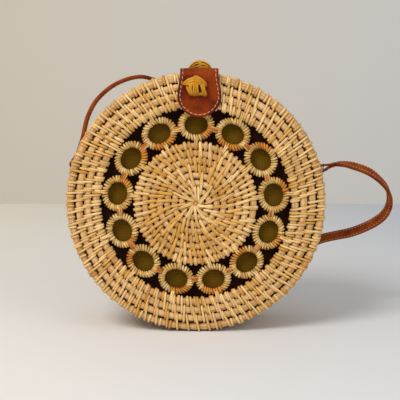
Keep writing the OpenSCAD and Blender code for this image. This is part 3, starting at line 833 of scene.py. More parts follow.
def makeRings():
    rng = random.Random(21)
    up = clockFrame(bag["ringTurn"])
    bm, tint, grain = newBm()
    circle = [(ring["tube"] * cos(2 * pi * i / 10), ring["tube"] * sin(2 * pi * i / 10)) for i in range(10)]
    sweep(bm, circle, [up @ m for m in ringPlaces(48)], closed=True)
    for v in bm.verts:
        v[tint] = ring["core"]
        v[grain] = (v.co.x, v.co.z, v.co.y)
    size = copiesRound(bm, 0, bag["ringCount"])
    bmesh.ops.recalc_face_normals(bm, faces=bm.faces[:])
    finishMesh("ringCores", bm, finish["core"], "lid", nodes=["ring_%02d" % (i + 1) for i in range(bag["ringCount"])])

    bm, tint, grain = newBm()
    reach = ring["tube"] + ring["wrapThick"] * 0.1
    for j, place in enumerate(ringPlaces(ring["wraps"], 0.5)):
        here = up @ place
        lean = Matrix.Rotation(radians(ring["wrapLean"] + rng.gauss(0, 8)), 4, "X")
        turns = []
        for i in range(12):
            around = Matrix.Rotation(2 * pi * i / 12, 4, "Z")
            # width along the ring, thickness outwards
            turns.append(here @ lean @ around @ Matrix.Translation((0, reach, 0))
                         @ Matrix(((0, 0, 1, 0), (0, 1, 0, 0), (-1, 0, 0, 0), (0, 0, 0, 1))))
        sweep(bm, strip(ring["wrapWidth"], ring["wrapThick"]), turns, closed=True)
    bm.verts.ensure_lookup_table()
    for v in bm.verts:
        v[grain] = (v.co.x * 0.5, v.co.z * 0.5, v.co.y)
    size = copiesRound(bm, 0, bag["ringCount"])
    each = size // ring["wraps"]
    for i in range(bag["ringCount"]):
        golden = rng.uniform(0, 1), rng.uniform(0.08, 0.3)
        for j in range(ring["wraps"]):
            share = abs((j / ring["wraps"] - golden[0] + 0.5) % 1 - 0.5)
            pool = ring["goldTones"] if share < golden[1] / 2 else ring["tones"]
            tone = shaded(rng.choice(pool), rng.uniform(0.84, 1.06))
            for v in bm.verts[i * size + j * each:i * size + (j + 1) * each]:
                v[tint] = tone
                v[grain] = v[grain] + Vector((j * 0.011, i * 0.013, 0))
    bmesh.ops.recalc_face_normals(bm, faces=bm.faces[:])
    finishMesh("ringWraps", bm, finish["ring"], "lid")
    print("rings")


makeRings()

# --- lashings between rings, band and middle

lash = {
    "thick": 0.0006,
    "strandWidth": 0.0013,
    "tones": [paint("#cf8d44"), paint("#c47a30"), paint("#d9a562"), paint("#b06a26")],
}


def beltPlaces(barOne, barTwo, apart, count=12):
    # round two bars side by side, in the plane of Y and Z, with bar one at the start
    places = []
    lean = acos((barOne - barTwo) / apart)
    for i in range(count):
        a = lean + (2 * pi - 2 * lean) * i / (count - 1)
        places.append(Matrix.Rotation(a, 4, "X") @ Matrix.Translation((0, barOne, 0)))
    for i in range(count):
        a = -lean + 2 * lean * i / (count - 1)
        places.append(Matrix.Translation((0, apart, 0)) @ Matrix.Rotation(a, 4, "X")
                      @ Matrix.Translation((0, barTwo, 0)))
    return places


def lashing(bm, place, barOne, barTwo, apart, strands, rng, tuckOne=0.0, tuckTwo=0.0):
    # the ends tuck in between the wraps, so the strands go round less than both whole bars
    place = place @ Matrix.Translation((0, tuckOne, 0))
    apart -= tuckOne + tuckTwo
    for s in range(strands):
        shift = Matrix.Translation(((s - (strands - 1) / 2) * lash["strandWidth"] * 1.06, 0, 0))
        tilt = Matrix.Rotation(rng.uniform(-0.12, 0.12), 4, "Z")
        lift = rng.uniform(0, 0.0002)
        places = [place @ shift @ tilt @ m for m in beltPlaces(barOne + lift, barTwo + lift, apart)]
        sweep(bm, strip(lash["strandWidth"], lash["thick"]), places, closed=True)


def colourLashing(bm, tint, grain, rng, each, tones):
    bm.verts.ensure_lookup_table()
    for i in range(len(bm.verts) // each):
        tone = shaded(rng.choice(tones), rng.uniform(0.85, 1.08))
        for v in bm.verts[i * each:(i + 1) * each]:
            v[tint] = tone
            v[grain] = (v.co.x + i * 0.01, v.co.y * 0.3, v.co.z * 0.3)


def makeLashings():
    rng = random.Random(8)
    stepAngle = 360 / bag["ringCount"]
    strandVerts = 24 * len(strip(1, 1))
    ringBar = ring["tube"] + 0.0006
    half = radians(stepAngle / 2)

    bm, tint, grain = newBm()
    apart = 2 * (ring["pitchRadius"] * sin(half) - ring["halfWide"])
    for i in range(bag["ringCount"]):
        place = clockFrame(bag["ringTurn"] + (i + 0.5) * stepAngle) @ Matrix.Translation(
            (-apart / 2, ring["pitchRadius"] * cos(half), bag["faceDepth"])) @ Matrix.Rotation(radians(-90), 4, "Z")
        lashing(bm, place, ringBar, ringBar, apart, 3, rng, 0.0021, 0.0021)
    colourLashing(bm, tint, grain, rng, strandVerts, lash["tones"])
    bmesh.ops.recalc_face_normals(bm, faces=bm.faces[:])
    finishMesh("ringLashings", bm, finish["lash"], "lid", nodes=["ring_ties"])

    for name, node, side, rowAt, rowBar, strands, tones in (
            ("bandLashings", "outer_ties", 1, 0.077, 0.0037, 2, stitch["pale"]),
            ("middleLashings", "inner_ties", -1, 0.04475, 0.0032, 2, stitch["pale"])):
        bm, tint, grain = newBm()
        ringAt = ring["pitchRadius"] + side * ring["halfHigh"]
        for i in range(bag["ringCount"]):
            place = clockFrame(bag["ringTurn"] + i * stepAngle) @ Matrix.Translation(
                (0, ringAt, bag["faceDepth"])) @ Matrix.Rotation(0 if side > 0 else pi, 4, "Z")
            lashing(bm, place, ringBar, rowBar, abs(rowAt - ringAt), strands, rng, 0.0018, 0.0016)
        colourLashing(bm, tint, grain, rng, strandVerts, tones)
        bmesh.ops.recalc_face_normals(bm, faces=bm.faces[:])
        finishMesh(name, bm, finish["lash"], "lid", nodes=[node])
    print("lashings")


makeLashings()

# --- cloth linings

lining = {
    "radius": 0.0937,
    "lidFront": -0.0291,
    "backFront": 0.0283,
    "thick": 0.0006,
    "ripple": 0.00025,
    "hole": paint("#6e5204"),
    # painted shade: the dark brown of the cloth in the gaps between rings
    "beside": paint("#2c130a"),
    "holeRadius": 0.0088,
}


def layUv(bm, way):
    uv = bm.loops.layers.uv.new("lay")
    for face in bm.faces:
        for loop in face.loops:
            loop[uv].uv = way(loop.vert.co)


def shadeBetweenRings(point):
    # painted shade: the cloth is painted dark brown wherever it doesn't show through a ring, in the shaded gaps between
    # rings
    i = round((clockAngle(point) * 180 / pi - bag["ringTurn"]) * bag["ringCount"] / 360)
    middle = clockFrame(bag["ringTurn"] + i * 360 / bag["ringCount"]) @ Vector((0, ring["pitchRadius"], 0))
    gap = hypot(point.x - middle.x, point.z - middle.z)
    return mixed(lining["hole"], lining["beside"], max(0.0, min(1.0, (gap - lining["holeRadius"]) / 0.002)))


def liningDisc(name, frontY, body, node):
    bm, tint, grain = newBm()
    bmesh.ops.create_grid(bm, x_segments=110, y_segments=110, size=lining["radius"])
    for v in bm.verts:      # the square net is pulled round
        x, y = v.co.x / lining["radius"], v.co.y / lining["radius"]
        v.co.x, v.co.y = (lining["radius"] * x * sqrt(1 - y * y / 2), lining["radius"] * y * sqrt(1 - x * x / 2))
        v.co.z = lining["ripple"] * noise.noise(Vector((v.co.x * 60, v.co.y * 60, frontY * 100)))
    layUv(bm, lambda co: (co.x, co.y))
    middle = frontY + 0.0005
    bmesh.ops.transform(bm, matrix=Matrix.Translation((0, middle, bag["axisZ"])) @ Matrix.Rotation(radians(90), 4, "X"),
                        verts=bm.verts[:])
    for v in bm.verts:
        v[tint] = shadeBetweenRings(v.co) if body == "lid" else lining["hole"]
    piece = finishMesh(name, bm, finish["lining"], body, nodes=[node])
    solid = piece.modifiers.new("thickness", "SOLIDIFY")
    solid.thickness, solid.offset = lining["thick"], 0
    return piece


def liningWall():
    bm, tint, grain = newBm()
    r = lining["radius"] - 0.0005
    front, back = -0.0197, 0.0279
    made = bmesh.ops.create_circle(bm, segments=120, radius=r)["verts"]
    edges = list({e for v in made for e in v.link_edges})
    bmesh.ops.transform(bm, matrix=Matrix.Translation((0, front, bag["axisZ"])) @ Matrix.Rotation(radians(90), 4, "X"),
                        verts=made)
    for i in range(6):
        grown = bmesh.ops.extrude_edge_only(bm, edges=edges)["geom"]
        verts = [g for g in grown if isinstance(g, bmesh.types.BMVert)]
        edges = [g for g in grown if isinstance(g, bmesh.types.BMEdge) and all(v in verts for v in g.verts)]
        bmesh.ops.translate(bm, vec=(0, (back - front) / 6, 0), verts=verts)
    for v in bm.verts:
        a = clockAngle(v.co)
        pull = lining["ripple"] * noise.noise(Vector((sin(a) * 9, cos(a) * 9, v.co.y * 50)))
        v.co.x, v.co.z = v.co.x + pull * sin(a), v.co.z + pull * cos(a)
    for v in bm.verts:
        v[tint] = lining["hole"]
    layUv(bm, lambda co: (clockAngle(co) * r, co.y))
    piece = finishMesh("wallLining", bm, finish["lining"], "basket", nodes=["wall_lining"])
    solid = piece.modifiers.new("thickness", "SOLIDIFY")
    solid.thickness, solid.offset = lining["thick"], 0


def makeLinings():
    front = liningDisc("lidLining", lining["lidFront"], "lid", "lid_lining")
    back = liningDisc("backLining", lining["backFront"], "basket", "back_lining")
    liningWall()
    print("linings")


makeLinings()

# --- leather flap, riveted to the back and buttoned over the front knot

flap = {
    "x": 0.003,
    "thick": 0.0024,
    "topZ": 0.203,          # middle of the leather over the top
    "frontY": -0.03951,
    "backY": 0.03771,
    "foldRadius": 0.005,
    "neck": 0.0145,         # half widths
    "tip": 0.01675,
    "frontDrop": 0.01425,   # from the fold to the middle of the round end
    "backDrop": 0.01225,
    "seamIn": 0.002,
    "stitchPitch": 0.0034,
    "slitLength": 0.014,
    "slitHalf": 0.0018,
    "knotAt": (-0.0006, 0.1905),
    "knotTilt": 21,
}


def flapStretches():
    # lengths of the parts of the leather, from the back tip to the front tip
    arc = flap["foldRadius"] * pi / 2
    top = flap["backY"] - flap["frontY"] - 2 * flap["foldRadius"]
    return [flap["tip"], flap["backDrop"], arc, top, arc, flap["frontDrop"], flap["tip"]]


def flapHalf(s):
    # half width of the leather and how far along s is past the middle of a round end
    tip, backDrop, arc, top, arc2, frontDrop, tip2 = flapStretches()
    end = sum(flapStretches())
    share = lambda d, length: flap["neck"] + (flap["tip"] - flap["neck"]) * min(1, max(0, d / length))
    if s < tip:
        return sqrt(max(0, tip ** 2 - (tip - s) ** 2))
    if s > end - tip:
        return sqrt(max(0, tip ** 2 - (s - end + tip) ** 2))
    if s < end / 2:
        return share(tip + backDrop - s, backDrop)
    return share(s - (end - tip - frontDrop), frontDrop)


def flapAt(s, w, h=0.0):
    # a point of the leather: s along it, w across it, h off its middle to the outside
    tip, backDrop, arc, top, arc2, frontDrop, tip2 = flapStretches()
    r = flap["foldRadius"]
    foldZ = flap["topZ"] - r
    x = flap["x"] + w
    s -= tip + backDrop
    if s < 0:
        return Vector((x, flap["backY"] + h, foldZ + s))
    if s < arc:
        a = s / r
        return Vector((x, flap["backY"] - r + (r + h) * cos(a), foldZ + (r + h) * sin(a)))
    s -= arc
    if s < top:
        return Vector((x, flap["backY"] - r - s, flap["topZ"] + h))
    s -= top
    if s < arc:
        a = s / r
        return Vector((x, flap["frontY"] + r - (r + h) * sin(a), foldZ + (r + h) * cos(a)))
    s -= arc
    return Vector((x, flap["frontY"] - h, foldZ - s))


def seamGap(s, w):
    # how far a point of the leather is from its cut edge
    end, tip = sum(flapStretches()), flap["tip"]
    if s < tip:
        return tip - hypot(tip - s, w)
    if s > end - tip:
        return tip - hypot(s - end + tip, w)
    return flapHalf(s) - abs(w)


def cutSlit(bm):
    # the slit of the front end, while the leather is still flat: X across, Y along
    end = sum(flapStretches())
    down = flap["topZ"] - flap["foldRadius"] - flap["knotAt"][1]
    centre = Vector((flap["knotAt"][0] - flap["x"], end - flap["tip"] - flap["frontDrop"] + down, 0))
    tilt = radians(flap["knotTilt"])
    along = Vector((cos(tilt), sin(tilt), 0))
    across = Vector((-sin(tilt), cos(tilt), 0))
    half = flap["slitLength"] / 2
    near = lambda co: (co - centre).length < half + 0.003
    for way, reach in ((along, half), (across, flap["slitHalf"])):
        for side in (-1, 1):
            faces = [f for f in bm.faces if near(f.calc_center_median())]
            geom = faces + list({e for f in faces for e in f.edges}) + list({v for f in faces for v in f.verts})
            bmesh.ops.bisect_plane(bm, geom=geom, plane_co=centre + side * reach * way, plane_no=way, dist=1e-6)
    gone = []
    for f in bm.faces:
        to = f.calc_center_median() - centre
        if abs(to.dot(along)) < half and abs(to.dot(across)) < flap["slitHalf"]:
            gone.append(f)
    bmesh.ops.delete(bm, geom=gone, context="FACES")


def seamPlaces(inset):
    # places along the seam, inset from the edge, all the way round the leather
    end, tip = sum(flapStretches()), flap["tip"]
    line = []
    for i in range(41):
        a = -pi / 2 + pi * i / 40
        line.append((end - tip + (tip - inset) * cos(a), (tip - inset) * sin(a)))
    steps = 60
    for i in range(1, steps):
        s = end - tip - (end - 2 * tip) * i / steps
        line.append((s, flapHalf(s) - inset))
    for i in range(41):
        a = pi / 2 + pi * i / 40
        line.append((tip + (tip - inset) * cos(a), (tip - inset) * sin(a)))
    for i in range(1, steps):
        s = tip + (end - 2 * tip) * i / steps
        line.append((s, -flapHalf(s) + inset))
    return line + line[:1]


def makeFlap():
    end = sum(flapStretches())
    bm, tint, grain = newBm()
    bmesh.ops.create_grid(bm, x_segments=36, y_segments=150, size=1)
    for v in bm.verts:
        t = (v.co.y + 1) / 2
        bunch = 0.1
        if t < bunch:
            s = flap["tip"] * (1 - cos(t / bunch * pi / 2))
        elif t > 1 - bunch:
            s = end - flap["tip"] * (1 - cos((1 - t) / bunch * pi / 2))
        else:
            s = flap["tip"] + (end - 2 * flap["tip"]) * (t - bunch) / (1 - 2 * bunch)
        v.co.x, v.co.y = v.co.x * max(flapHalf(s), 0.0004), s
    cutSlit(bm)
    flat = {v: (v.co.y, v.co.x) for v in bm.verts}
    lower = bmesh.ops.solidify(bm, geom=bm.faces[:] + bm.edges[:] + bm.verts[:], thickness=flap["thick"])
    half = flap["thick"] / 2
    for v in bm.verts:
        s, w = v.co.y, v.co.x
        side = 1 if abs(v.co.z) < flap["thick"] * 0.4 else -1
        gap = seamGap(s, w)
        groove = 0.00028 * exp(-((gap - flap["seamIn"]) / 0.0005) ** 2)
        worn = 0.0005 * max(0, 1 - gap / 0.0009) ** 2
        wave = 0.00035 * noise.noise(Vector((w * 55, s * 40, 3.1)))
        v.co = flapAt(s, w, side * (half - groove - worn) + wave)
        dark = 1 - 0.5 * max(0, 1 - gap / 0.0016)
        v[tint] = (dark, dark * 0.95, dark * 0.9, 1)
    bmesh.ops.recalc_face_normals(bm, faces=bm.faces[:])
    piece = finishMesh("leatherFlap", bm, finish["flap"], None, nodes=["flap_root", "flap_tongue"])
    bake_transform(piece)

    rng = random.Random(31)
    bm, tint, grain = newBm()
    line = seamPlaces(flap["seamIn"])
    travelled, due = 0.0, 0.0
    for (s1, w1), (s2, w2) in zip(line, line[1:]):
        step = hypot(s2 - s1, w2 - w1)
        while due < travelled + step:
            t = (due - travelled) / step
            s, w = s1 + (s2 - s1) * t, w1 + (w2 - w1) * t
            for side in (-1, 1):
                h = side * (half - 0.00018)
                here = flapAt(s, w, h)
                ahead = (flapAt(s + (s2 - s1) * 0.02, w + (w2 - w1) * 0.02, h) - here).normalized()
                outward = (flapAt(s, w, h * 1.5) - here).normalized()
                wide = outward.cross(ahead)
                place = Matrix.Translation(here) @ Matrix((wide, outward, ahead)).transposed().to_4x4()
                slant = Matrix.Rotation(rng.uniform(-0.05, 0.2), 4, "Y")
                sewnStitch(bm, place @ slant, 0.0031, 0.0006)
            due += flap["stitchPitch"]
        travelled += step
    for v in bm.verts:
        v[tint] = (1, 1, 1, 1)
        v[grain] = v.co
    thread = finishMesh("flapThread", bm, finish["thread"], None)
    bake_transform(thread)
    print("flap")


makeFlap()

# --- knots of folded cane

knot = {
    "gold": [paint("#e0a735"), paint("#d2962a"), paint("#e8b54f"), paint("#c58a28")],
    # painted shade: the dark brown of the plate, pin and heart under the folds, seen in the slots between them
    "under": paint("#6a3a0c"),
    "stripThick": 0.0007,
    "frontLength": 0.0214,
    "topLength": 0.0184,
    "corners": [(-9.8, -2.2), (-4.2, 6.3), (0.5, 8.1), (6.3, 6.5), (6.6, 4.1), (11.6, -2.2), (8.2, -4.5),
                (-1.6, -6.9), (-4.2, -3.7)],
}

# The folds that show, each a strip through (across, up, off the leather, half its width), in millimetres
frontFolds = [
    [(-9.4, 1.3, 0.5, 0.5), (-7.6, 1.9, 2.2, 1.3), (-4.6, 2.8, 3.3, 2.5), (-1.2, 3.6, 3.7, 3.0), (1.2, 4.1, 2.6, 2.8)],
    [(-5.3, 0.6, 0.6, 1.4), (-4.6, -1.2, 2.5, 1.7), (-3.6, -3.8, 2.8, 1.6), (-2.7, -5.6, 2.2, 1.5), (-2.6, -6.2, .5, 1.4)],
    [(8.2, -0.4, 0.6, 1.9), (7.0, 1.2, 3.2, 2.3), (4.2, 3.7, 4.2, 2.4), (1.2, 5.6, 3.6, 2.2), (-0.6, 6.3, 1.2, 1.7)],
    [(-2.5, 2.4, 1.6, 1.1), (-2.9, 0.8, 4.0, 1.2), (-2.9, -2.0, 4.5, 0.9), (-2.3, -4.8, 3.7, 1.2), (-2.1, -6.5, .6, 1.2)],
    [(1.2, 3.0, 2.0, 1.9), (0.9, 1.2, 4.6, 2.2), (0.7, -2.0, 5.0, 2.1), (1.2, -5.0, 4.0, 2.4), (1.5, -6.9, 0.6, 2.3)],
    [(5.2, 2.2, 2.4, 1.2), (6.0, 0.2, 4.4, 1.6), (6.7, -2.6, 4.2, 1.5), (7.4, -5.2, 3.2, 1.7), (8.2, -6.9, 0.5, 1.4)],
    [(1.6, -5.6, 0.6, 0.9), (3.6, -5.9, 2.6, 1.1), (5.8, -5.9, 2.7, 1.1), (7.8, -6.0, 0.6, 0.9)],
]
topFolds = [
    [(-8.3, -0.6, 0.5, 1.6), (-7.0, -0.6, 3.0, 2.6), (-4.2, -0.8, 5.2, 3.6), (-1.4, -0.8, 6.2, 4.0), (-0.2, -0.6, 4.6, 3.8)],
    [(8.4, -0.6, 0.5, 1.6), (7.2, -0.6, 3.0, 2.6), (4.4, -0.8, 5.0, 3.6), (1.6, -0.8, 6.0, 4.0), (0.4, -0.6, 4.6, 3.8)],
    [(0.5, 4.0, 1.0, 1.0), (0.4, 2.6, 5.4, 1.2), (0.3, -1.6, 6.5, 1.3), (0.1, -4.4, 4.6, 1.2), (0.0, -5.6, 1.0, 1.0)],
    [(-6.2, -3.0, 0.4, 1.3), (-5.2, -4.0, 2.2, 1.5), (-3.0, -4.4, 3.8, 1.6), (-1.0, -4.2, 4.2, 1.5), (-0.2, -4, 3, 1.4)],
    [(6.6, -2.8, 0.4, 1.3), (5.4, -3.8, 2.2, 1.5), (3.2, -4.3, 3.7, 1.6), (1.2, -4.2, 4.0, 1.5), (0.4, -4, 3, 1.4)],
    [(-5.2, -5.0, 0.3, 1.0), (-3.4, -5.2, 1.4, 1.2), (0.6, -5.3, 2.7, 1.2), (3.6, -5.0, 3.0, 1.1), (5.2, -4.4, 1.6, 0.9)],
    [(6.2, -4.6, 0.3, 0.9), (4.4, -5.3, 1.0, 1.0), (1.6, -5.8, 1.1, 1.0), (-1.4, -5.8, 0.5, 0.8)],
]


def pleated(half):
    # section of a folded strip: flat below, pleated along it on top
    t = knot["stripThick"]
    return [(-half, 0), (half, 0), (half, t * 0.8), (half * 0.62, t * 1.5), (half * 0.3, t * 0.9), (0, t * 1.6),
            (-half * 0.34, t * 0.9), (-half * 0.66, t * 1.5), (-half, t * 0.8)]


def knotFold(bm, place, stops):
    # a strip that rises from under its neighbours, crosses the knot and tucks in again
    points, halves = [], []
    for i, (x, y, z, half) in enumerate(stops[:-1]):
        for t in (0, 0.25, 0.5, 0.75):
            points.append(Vector((x, y, z)).lerp(Vector(stops[i + 1][:3]), t) / 1000)
            halves.append((half + (stops[i + 1][3] - half) * t) / 1000)
    points.append(Vector(stops[-1][:3]) / 1000)
    halves.append(stops[-1][3] / 1000)
    for turn in range(2):       # softens the bends, but leaves them visible
        points = [points[0]] + [(a + b * 2 + c) / 4 for a, b, c in zip(points, points[1:], points[2:])] + [points[-1]]
    way = points[-1] - points[0]
    side = Vector((way.y, -way.x, 0)).normalized()
    places = alongPath(points, [side] * len(points))
    upwards = places[len(places) // 2].to_3x3() @ Vector((0, 1, 0))
    flip = Matrix.Diagonal((1, 1 if upwards.z > 0 else -1, 1, 1))
    sweep(bm, pleated(1), [place @ m @ flip @ Matrix.Diagonal((half, 1, 1, 1)) for m, half in zip(places, halves)])
    return atan2(way.y, way.x)


def makeKnot(name, node, body, place, length, height, folds, seed, pinLength):
    rng = random.Random(seed)
    bm, tint, grain = newBm()
    unit = length / (knot["corners"][5][0] - knot["corners"][0][0])
    plate = bm.faces.new([bm.verts.new((x * unit * 0.96, y * unit * 0.96, 0.0003)) for x, y in knot["corners"]])
    grown = bmesh.ops.extrude_face_region(bm, geom=[plate])["geom"]
    top = [g for g in grown if isinstance(g, bmesh.types.BMVert)]
    bmesh.ops.translate(bm, vec=(0, 0, height * 0.25), verts=top)
    bmesh.ops.scale(bm, vec=(0.88, 0.88, 1), verts=top)
    bmesh.ops.create_cone(bm, cap_ends=True, segments=20, radius1=0.0016, radius2=0.0016, depth=pinLength,
                          matrix=Matrix.Translation((0, 0, 0.001 - pinLength / 2)))
    if name == "topKnot":       # the folds close over a round heart
        bmesh.ops.create_uvsphere(bm, u_segments=24, v_segments=12, radius=0.001, matrix=Matrix.Translation(
            (0.0001, -0.0008, 0.0003)) @ Matrix.Diagonal((7.9, 4.0, 5.7, 1)))
        low = [v for v in bm.verts if v.co.z < 0.0003 and v.co.xy.length > 0.0017]
        for v in low:
            v.co.z = 0.0003
    bmesh.ops.transform(bm, matrix=place, verts=bm.verts[:])
    # painted shade: all that lies under the folds is painted dark brown
    for v in bm.verts:
        v[tint] = knot["under"]
        v[grain] = v.co * 0.4
    upright = place @ Matrix.Rotation(radians(flap["knotTilt"]), 4, "Z") if name == "frontKnot" else place
    back = upright.inverted()
    for k, stops in enumerate(folds):
        fold, tint, grain = newBm()
        turn = Matrix.Rotation(-knotFold(fold, upright, stops), 4, "Z")
        tone = shaded(rng.choice(knot["gold"]), rng.uniform(0.9, 1.05))
        for v in fold.verts:
            flat = turn @ (back @ v.co)
            # painted shade: each fold is painted darker towards the leather, where it dives under its neighbours
            low = max(0.0, min(1.0, flat.z / 0.0022))
            v[tint] = mixed(knot["under"], tone, low)
            v[grain] = (flat.x * 0.05, flat.y, flat.z * 0.2 + k * 0.01)
        addTo(bm, fold)
    bmesh.ops.recalc_face_normals(bm, faces=bm.faces[:])
    piece = finishMesh(name, bm, finish["gold"], body, nodes=[node])
    piece.data.set_sharp_from_angle(angle=radians(24))


def makeKnots():
    half = flap["thick"] / 2
    x, z = flap["knotAt"]
    front = clockFrame(0, flap["frontY"] - half - 0.0003)
    front = Matrix.Translation((x, 0, z - bag["axisZ"])) @ front @ Matrix.Rotation(radians(-flap["knotTilt"]), 4, "Z")
    makeKnot("frontKnot", "front_knot", "lid", front, knot["frontLength"], 0.0056, frontFolds, 3, 0.0075)
    top = Matrix.Translation((flap["x"], flap["frontY"] + 0.031, flap["topZ"] + half + 0.0001))
    makeKnot("topKnot", "top_knot", "basket", top, knot["topLength"], 0.0066, topFolds, 5, 0.003)
    print("knots")


makeKnots()

# --- cane loops and sewn ends of the strap

loops = {
    "thick": 0.0018,        # half
    "bend": 0.0025,
    "foot": 0.003,
    "rise": 0.0043,
    "tone": paint("#b5793c"),
}


def bentPath(corners, bend, parts=6):
    # rounds the corners of a path of straight stretches
    points = [corners[0]]
    for before, here, after in zip(corners, corners[1:], corners[2:]):
        a = here + (before - here).normalized() * bend
        b = here + (after - here).normalized() * bend
        for i in range(parts + 1):
            t = i / parts
            points.append(a * (1 - t) ** 2 + here * 2 * t * (1 - t) + b * t * t)
    return points + [corners[-1]]


def makeLoops():
    for side in ("left", "right"):
        bm, tint, grain = newBm()
        angle = strap[side][0]
        place = clockFrame(angle)
        low = bag["wallRadius"] + bag["rowHalf"] - loops["foot"]
        high = strap["loopRadius"]
        y = -strap["loopY"]
        reach = bag["rowStep"]
        corners = [Vector((0, low, y - reach)), Vector((0, high, y - reach)),
                   Vector((0, high, y + reach)), Vector((0, low, y + reach))]
        points = [place @ p for p in bentPath(corners, loops["bend"])]
        wide = place.to_3x3() @ Vector((1, 0, 0))
        circle = [(loops["thick"] * cos(pi * i / 6), loops["thick"] * sin(pi * i / 6)) for i in range(12)]
        sweep(bm, circle, alongPath(points, [wide] * len(points)))
        for v in bm.verts:
            v[tint] = mixed(loops["tone"], stitch["pale"][0], 0.3 + 0.3 * noise.noise(v.co * 300))
            v[grain] = (v.co.x, v.co.y * 0.1, v.co.z)
        bmesh.ops.recalc_face_normals(bm, faces=bm.faces[:])
        finishMesh("strapLoop" + side.title(), bm, finish["lash"], "basket", nodes=["strap_loop_" + side])
        makeStrapEnd(side)
    print("strap loops")


def makeStrapEnd(side):
    # the inner ply runs round the cane loop and is sewn back on the strap
    middle, way = loopMiddle(side), leanWay(side)
    off = Vector((0, 1, 0)).cross(way)
    eye, ply = loops["thick"] + 0.0003, strap["thick"] / 4
    points = []
    reach = strap["endLength"]
    for i in range(5):
        t = i / 4
        points.append(middle + way * (reach - (reach * 0.75) * t) + off * (ply + (eye - 0.0002) * t ** 3 * 0.85))
    for i in range(13):
        a = radians(25) + radians(310) * i / 12
        points.append(middle + (eye + ply) * (way * cos(a) + off * sin(a)))
    for i in range(5):
        t = 1 - i / 4
        points.append(middle + way * (reach - (reach * 0.75) * t) - off * (ply + (eye - 0.0002) * t ** 3 * 0.85))
    w, t = strap["wide"] / 2, ply
    section = [(-w, -t * 0.5), (-w + 0.0004, -t), (w - 0.0004, -t), (w, -t * 0.5),
               (w, t * 0.5), (w - 0.0004, t), (-w + 0.0004, t), (-w, t * 0.5)]
    bm, tint, grain = newBm()
    sweep(bm, section, alongPath(points, [Vector((0, 1, 0))] * len(points)))
    for v in bm.verts:
        v[tint] = (1, 1, 1, 1)
    bmesh.ops.recalc_face_normals(bm, faces=bm.faces[:])
    finishMesh("strapEnd" + side.title(), bm, finish["strap"], "basket", nodes=["strap_end_" + side])
    bm, tint, grain = newBm()
    for face in (-1, 1):
        for row in (-1, 1):
            for i in range(3):
                at = middle + way * (reach * (0.42 + 0.22 * i)) + off * face * (strap["thick"] / 2 + 0.00005)
                at.y += row * (strap["wide"] / 2 - 0.0013)
                place = Matrix.Translation(at) @ Matrix((Vector((0, 1, 0)), off * face, way)).transposed().to_4x4()
                sewnStitch(bm, place, 0.0021, 0.0008)
    for v in bm.verts:
        v[tint] = (1, 1, 1, 1)
    finishMesh("endThread" + side.title(), bm, finish["thread"], "basket")


makeLoops()

# --- rims, hinge loops and rivets keep their solids and get their finishes


def keptMaterials():
    material, tree, shader = nodeMaterial("rimCane")
    place = addNode(tree, "ShaderNodeTexCoord")
    cloud = setInputs(addNode(tree, "ShaderNodeTexNoise"), Scale=120, Detail=4)
    tree.links.new(place.outputs["Object"], cloud.inputs["Vector"])
    colour = addRamp(tree, cloud.outputs["Fac"], [(0.3, paint("#b58450")), (0.6, coil["light"])])
    tree.links.new(colour, shader.inputs["Base Color"])
    shader.inputs["Roughness"].default_value = 0.55
    fine = setInputs(addNode(tree, "ShaderNodeTexNoise"), Scale=900, Detail=4)
    tree.links.new(place.outputs["Object"], fine.inputs["Vector"])
    addBump(tree, shader, fine.outputs["Fac"], 0.0002, 0.5)
    brass, tree, shader = nodeMaterial("agedBrass")
    place = addNode(tree, "ShaderNodeTexCoord")
    cloud = setInputs(addNode(tree, "ShaderNodeTexNoise"), Scale=500, Detail=4)
    tree.links.new(place.outputs["Object"], cloud.inputs["Vector"])
    colour = addRamp(tree, cloud.outputs["Fac"], [(0.3, paint("#8a6a30")), (0.65, paint("#c9a254"))])
    tree.links.new(colour, shader.inputs["Base Color"])
    shader.inputs["Metallic"].default_value = 1.0
    shader.inputs["Roughness"].default_value = 0.34
    addBump(tree, shader, cloud.outputs["Fac"], 0.00008, 0.5)
    for names, one in ((("mouth_rim", "lid_rim", "hinge_ties"), material), (("flap_rivets",), brass)):
        for name in names:
            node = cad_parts[name]
            node.data.materials.clear()
            node.data.materials.append(one)
    print("kept solids")


keptMaterials()

# --- floor, backdrop and light

studio = {
    "floor": [paint("#e9e1d5"), paint("#d3d9e2")],          # left and right
    # painted light: the far floor is painted lighter on the left, where the light falls off
    "farFloor": [paint("#fff8e8"), paint("#d0d7e4")],
    "backdrop": [paint("#d6cec1"), paint("#dedbd6")],
    "backdropY": 0.92,
    "world": 0.45,
}


def stageMaterial(name, near, far):
    # painted light: the colour grows lighter or darker from left to right and, on the floor, from near to far, as if
    # light fell that way
    material, tree, shader = nodeMaterial(name)
    place = addNode(tree, "ShaderNodeTexCoord")
    parts = addNode(tree, "ShaderNodeSeparateXYZ")
    tree.links.new(place.outputs["Object"], parts.inputs["Vector"])
    shares = []
    for axis, low, high in (("X", -0.45, 0.45), ("Y", -0.35, 0.6)):
        share = setInputs(addNode(tree, "ShaderNodeMapRange"), From_Min=low, From_Max=high)
        tree.links.new(parts.outputs[axis], share.inputs["Value"])
        shares.append(share.outputs["Result"])
    sides = []
    for left, right in (near, far):
        side = addMix(tree, "MIX", 0.5, left, right)
        tree.links.new(shares[0], side.node.inputs[0])
        sides.append(side)
    colour = addMix(tree, "MIX", 0.5, *sides)
    tree.links.new(shares[1], colour.node.inputs[0])
    tree.links.new(colour, shader.inputs["Base Color"])
    shader.inputs["Roughness"].default_value = 0.9
    return material


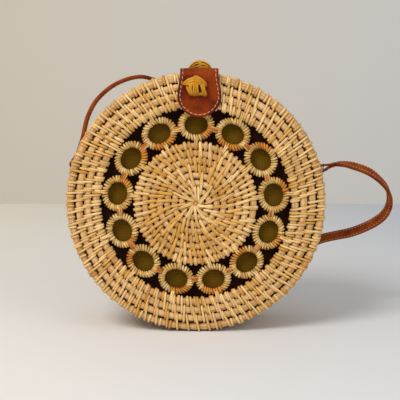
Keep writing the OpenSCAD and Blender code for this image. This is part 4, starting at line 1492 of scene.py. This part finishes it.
def clearFromBehind(material):
    # the back of the bag is looked at from behind the backdrop
    tree = material.node_tree
    output = next(n for n in tree.nodes if n.type == "OUTPUT_MATERIAL")
    shader = output.inputs["Surface"].links[0].from_node
    sides = addNode(tree, "ShaderNodeNewGeometry")
    clear = addNode(tree, "ShaderNodeBsdfTransparent")
    both = addNode(tree, "ShaderNodeMixShader")
    tree.links.new(sides.outputs["Backfacing"], both.inputs[0])
    tree.links.new(shader.outputs[0], both.inputs[1])
    tree.links.new(clear.outputs[0], both.inputs[2])
    tree.links.new(both.outputs[0], output.inputs["Surface"])
    return material


def makeStage():
    y = studio["backdropY"]
    floor = [(-3, -3, 0), (3, -3, 0), (3, 3, 0), (-3, 3, 0)]
    backdrop = [(-3, y, 0), (3, y, 0), (3, y, 3), (-3, y, 3)]
    for name, corners, near, far in (("floor", floor, studio["floor"], studio["farFloor"]),
                                     ("backdrop", backdrop, studio["backdrop"], studio["backdrop"])):
        mesh = bpy.data.meshes.new(name)
        bm = bmesh.new()
        bm.faces.new([bm.verts.new(c) for c in corners])
        bm.to_mesh(mesh)
        bm.free()
        material = stageMaterial(name + "Paint", near, far)
        mesh.materials.append(clearFromBehind(material) if name == "backdrop" else material)
        sheet = bpy.data.objects.new(name, mesh)
        bpy.context.scene.collection.objects.link(sheet)


def makeLight(name, place, target, size, power, colour=(1, 1, 1)):
    data = bpy.data.lights.new(name, "AREA")
    data.shape, data.size, data.energy, data.color = "DISK", size, power, colour
    light = bpy.data.objects.new(name, data)
    bpy.context.scene.collection.objects.link(light)
    light.location = place
    light.rotation_euler = (Vector(place) - Vector(target)).to_track_quat("Z", "Y").to_euler()


def makeStudio():
    makeStage()
    scene = bpy.context.scene
    scene.world = bpy.data.worlds.new("studio")
    scene.world.use_nodes = True
    background = scene.world.node_tree.nodes["Background"]
    background.inputs["Color"].default_value = (1, 1, 1, 1)
    background.inputs["Strength"].default_value = studio["world"]
    makeLight("keyLight", (-0.55, -0.8, 1.0), (0, 0, 0.1), 0.6, 12, (1, 0.98, 0.95))
    makeLight("fillLight", (0.9, -0.9, 0.6), (0, 0, 0.1), 0.9, 4, (0.95, 0.97, 1))
    scene.view_settings.view_transform = "Standard"
    print("studio")


makeStudio()
